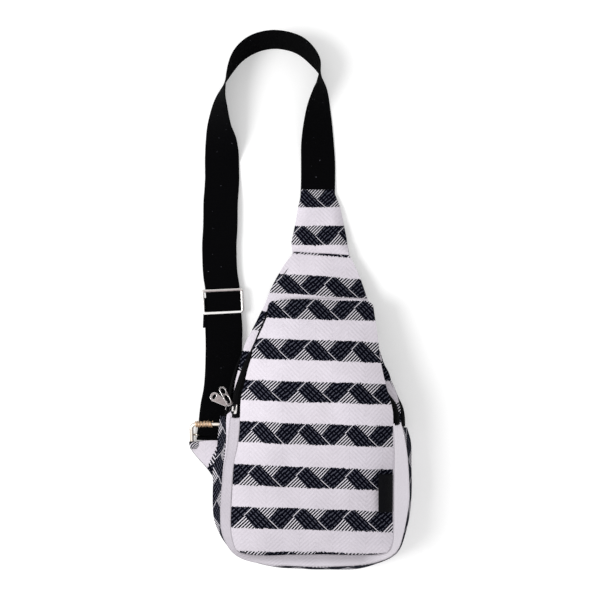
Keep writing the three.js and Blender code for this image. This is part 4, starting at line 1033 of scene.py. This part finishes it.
# %% Lower buckle
BUCKLE_HALF = 20.4
BUCKLE_REACH = 12.4
buckle_centre = Vector((-100 + MIDDLE[0], -150 + MIDDLE[1], 5.6)) * MM
buckle_path = frame_path(buckle_centre, BUCKLE_HALF, BUCKLE_REACH, 5.0, 0.0, math.radians(10))
buckle_frame = wire("buckle_frame", buckle_path, 0.0021, old_gold, closed=True)
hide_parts("strap_buckle")
bar_line = [buckle_centre + Vector((s * BUCKLE_HALF, 0, -2.5)) * MM for s in (-1, -0.5, 0, 0.5, 1)]
buckle_bar = wire("buckle_bar", bar_line, 0.0010, old_gold)
print("buckle at", [round(v, 4) for v in buckle_centre])

# %% [markdown]
# ## The buckle's winding
# Thread-like gilding winds round the left half of the top bar, and a plain silvery sleeve follows it. A
# helix with a little noise in its pitch and radius looks wound by hand.

# %% Winding and sleeve
WINDING_POINTS = 420
WINDING_TURNS = 11
TOP_BAR = (12.2, 2.15)
winding = []
for i in range(WINDING_POINTS):
    share = i / (WINDING_POINTS - 1)
    angle = share * 2 * math.pi * WINDING_TURNS
    along = -15.6 + share * 18.6 + 0.8 * noise.noise(Vector((share * 31, 4, 2)))
    lift = 3.0 + 1.3 * noise.noise(Vector((share * 23, 1, 5)))
    place = Vector((along, TOP_BAR[0] + lift * math.cos(angle), TOP_BAR[1] + lift * math.sin(angle)))
    winding.append(buckle_centre + place * MM)
gilding = wire("buckle_winding", winding, 0.0007, gilding_metal, sides=8)
sleeve = wire("buckle_sleeve", [buckle_centre + Vector((3.2 + i, *TOP_BAR)) * MM for i in range(8)], 0.0018, nickel)
print("winding turns", WINDING_TURNS)

# %% [markdown]
# ## Side wing
# A small folded triangle of white cloth joins the buckle to the bag's side. It could be a plain triangle, but
# the real one is rounded over its fold, so it is drawn in rows that sag a little between their ends. Beside
# the bag a dark band of the cloth begins, and the fold's left edge is dark as well. A striped hem at its
# top holds the buckle's lower bar.

# %% Side wing
WING = [  # left px, py, right px, py, height at the left and at the right
    (190.2, 443.4, 221.5, 440.2, 6.0, 11), (190.0, 446.5, 221, 444, 6.2, 12), (193.2, 452.4, 220.0, 450.5, 5.4, 12.5),
    (199.5, 460, 218.6, 458.5, 4.6, 12), (206.5, 468, 216.6, 467.2, 3.8, 11), (212.6, 476.4, 215, 476.2, 3.0, 8)]
wing_grid, wing_uv = [], []
for lx, ly, rx, ry, lz, rz in spline(WING, 40):
    row, threads = [], []
    for j in range(25):
        a = j / 24
        sag = math.sin(math.pi * a) * 1.6
        px, py = lx + (rx - lx) * a, ly + (ry - ly) * a - math.sin(math.pi * a) * 1.2
        row.append(spot(px, py, lz + (rz - lz) * a**1.4 + sag))
        beyond = (218.5 - px) * 0.908 - (py - 443) * 0.418
        edge = 0.0 if j == 0 else 1.0
        threads.append((py / REPEAT, (0.245 + min(beyond, 18) / 42) * edge))
    wing_grid.append(row)
    wing_uv.append(threads)
wing = cloth("wing_cloth", wing_grid, wing_uv, striped, rough=0.5)
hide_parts("side_wing")
wing_under = cloth("wing_under", [[Vector((p.x, p.y, max(0.0008, p.z * 0.2))) for p in row] for row in wing_grid[::3]],
                   wing_uv[::3], striped, rough=0.3, turn=True)
HEM = [  # left px, right px, py, height
    (189.4, 204.5, 441.6, 5.0), (189.0, 203.5, 442.4, 8.2), (189.4, 199.6, 445.2, 8.6), (190.6, 195.6, 449.2, 8.0)]
shares = np.linspace(0, 1, 9)
hem = cloth("wing_hem", [[spot(lx + (rx - lx) * a, ly - 0.2, z) for a in shares] for lx, rx, ly, z in HEM],
            [[(a * 0.24 + 0.1, 0.02 + r * 0.06) for a in shares] for r in range(len(HEM))], striped, rough=0.3)
print("wing", [round(v, 4) for v in wing.dimensions])

# %% [markdown]
# ## Label
# A folded black woven label, sewn into the seam at the pocket's right edge and left bare. It follows the
# pocket's front and bends down towards the seam. A sheet a little above the front is enough for it.

# %% Label
label_shader = Shader("label_satin", roughness=0.7, sheen=0.05)
_, label_v = label_shader.uv()
label_rows = label_shader.math("SINE", label_shader.mul(label_v, 9.0))
satin = label_shader.mix(label_shader.noise(300.0, 3.0), (0.0015, 0.0015, 0.002), (0.005, 0.005, 0.007))
label_black = label_shader.finish(satin, label_rows, 0.0001)
label_grid = [[spot(px, py, float(pocket_z(py)) - 0.2 - 10.5 * max(0.0, (px - 379.5) / 13.5) ** 2.2)
               for px in np.linspace(378.6, 392.6, 13)] for py in np.linspace(474.6, 512.2, 20)]
label_uv = [[(float(j), float(i) * 2) for j in range(13)] for i in range(20)]
label = cloth("label", label_grid, label_uv, label_black, thick=0.8, rough=0.4)
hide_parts("woven_label")
print("label", [round(v, 4) for v in label.dimensions])

# %% [markdown]
# ## Sliders
# The sliders keep the CAD's shape, which is fine enough for their size. Their bridges are bright and their
# bodies dark, so one metal turns from nickel above a height to painted shade, almost black, below it.

# %% Sliders
for name, level in (("main_zip_slider", 0.0284), ("pocket_zip_slider", 0.0474)):
    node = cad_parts[name]
    node.data.materials.clear()
    node.data.materials.append(plated_shaded_below(name + "_metal", level, 2))
    print(name, "bright above", level)

# %% [markdown]
# ## Pulls
# The pulls are stamped plates with holes. The main one lies flat and shows its grey face, its bright rim and
# one round hole. The pocket's leans over and has two long holes, so it shows as a narrow loop with a bar. A
# filled 2D curve with holes gives such a plate at once, and its bevel gives the rim. The rim's brightness is
# a painted highlight and the grey of the flat faces is painted shade.

# %% Pull helper


def oval(middle, half_length, half_width):
    turns = [2 * math.pi * i / 28 for i in range(28)]
    return [(middle + half_length * math.cos(t), half_width * math.sin(t)) for t in turns]


def drop(length, half_root, half_tip):
    """A plate's outline: a narrow root at 0 and a round tip."""
    turns = [math.pi * (0.5 - i / 24) for i in range(25)]
    round_end = [(length - half_tip + half_tip * math.cos(t), half_tip * math.sin(t)) for t in turns]
    return [(0.0, half_root), *round_end, (0.0, -half_root)]


def pull_plate(name, root, tip, facing, rings, flat, body, node):
    """A stamped plate from root to tip; the first ring is its outline and the others are holes."""
    data = bpy.data.curves.new(name, "CURVE")
    data.dimensions = "2D"
    data.fill_mode = "BOTH"
    data.extrude = 0.15 * MM
    data.bevel_depth = 0.28 * MM
    data.bevel_resolution = 2
    for ring in rings:
        line = data.splines.new("POLY")
        line.points.add(len(ring) - 1)
        for point, (a, b) in zip(line.points, ring):
            point.co = (a * MM, b * MM, 0, 1)
        line.use_cyclic_u = True
    drawn = bpy.data.objects.new(name + "_drawn", data)
    bpy.context.scene.collection.objects.link(drawn)
    mesh = bpy.data.meshes.new_from_object(drawn.evaluated_get(bpy.context.evaluated_depsgraph_get()))
    bpy.data.objects.remove(drawn)
    along = (tip - root).normalized()
    across = facing.cross(along).normalized()
    up = along.cross(across)
    mesh.transform(Matrix.Translation(root) @ Matrix((along, across, up)).transposed().to_4x4())
    mesh.materials.clear()
    mesh.materials.append(nickel_highlighted)
    mesh.materials.append(flat)
    for face in mesh.polygons:
        # The rim's faces take the nickel with a painted highlight, and the flat faces the nickel with painted shade.
        face.material_index = 1 if abs(face.normal.dot(up)) > 0.97 else 0
    obj = bpy.data.objects.new(name, mesh)
    bpy.context.scene.collection.objects.link(obj)
    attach(obj, body)
    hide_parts(node)
    return obj


# %% Pulls
main_root, main_tip = spot(229.4, 405.8, 27.4), spot(210.9, 394.8, 24.5)
main_rings = [drop((main_tip - main_root).length / MM, 1.9, 4.7), oval(19.4, 2.2, 3.4)]
main_pull = pull_plate("main_pull_plate", main_root, main_tip, Vector((0.1, 0.0, 1.0)), main_rings, nickel_deep_shaded,
                       "main_pull", "main_zip_pull")
pocket_root, pocket_tip = spot(230.4, 405.0, 47.9), spot(221.0, 387.0, 42.0)
pocket_rings = [drop((pocket_tip - pocket_root).length / MM, 3.0, 3.4), oval(17.2, 3.9, 2.8), oval(7.0, 5.6, 2.6)]
pocket_pull = pull_plate("pocket_pull_plate", pocket_root, pocket_tip, Vector((0.5, 0.1, 1.0)), pocket_rings,
                         nickel_deep_shaded, "pocket_pull", "pocket_zip_pull")
print("pulls", len(main_pull.data.polygons), len(pocket_pull.data.polygons))
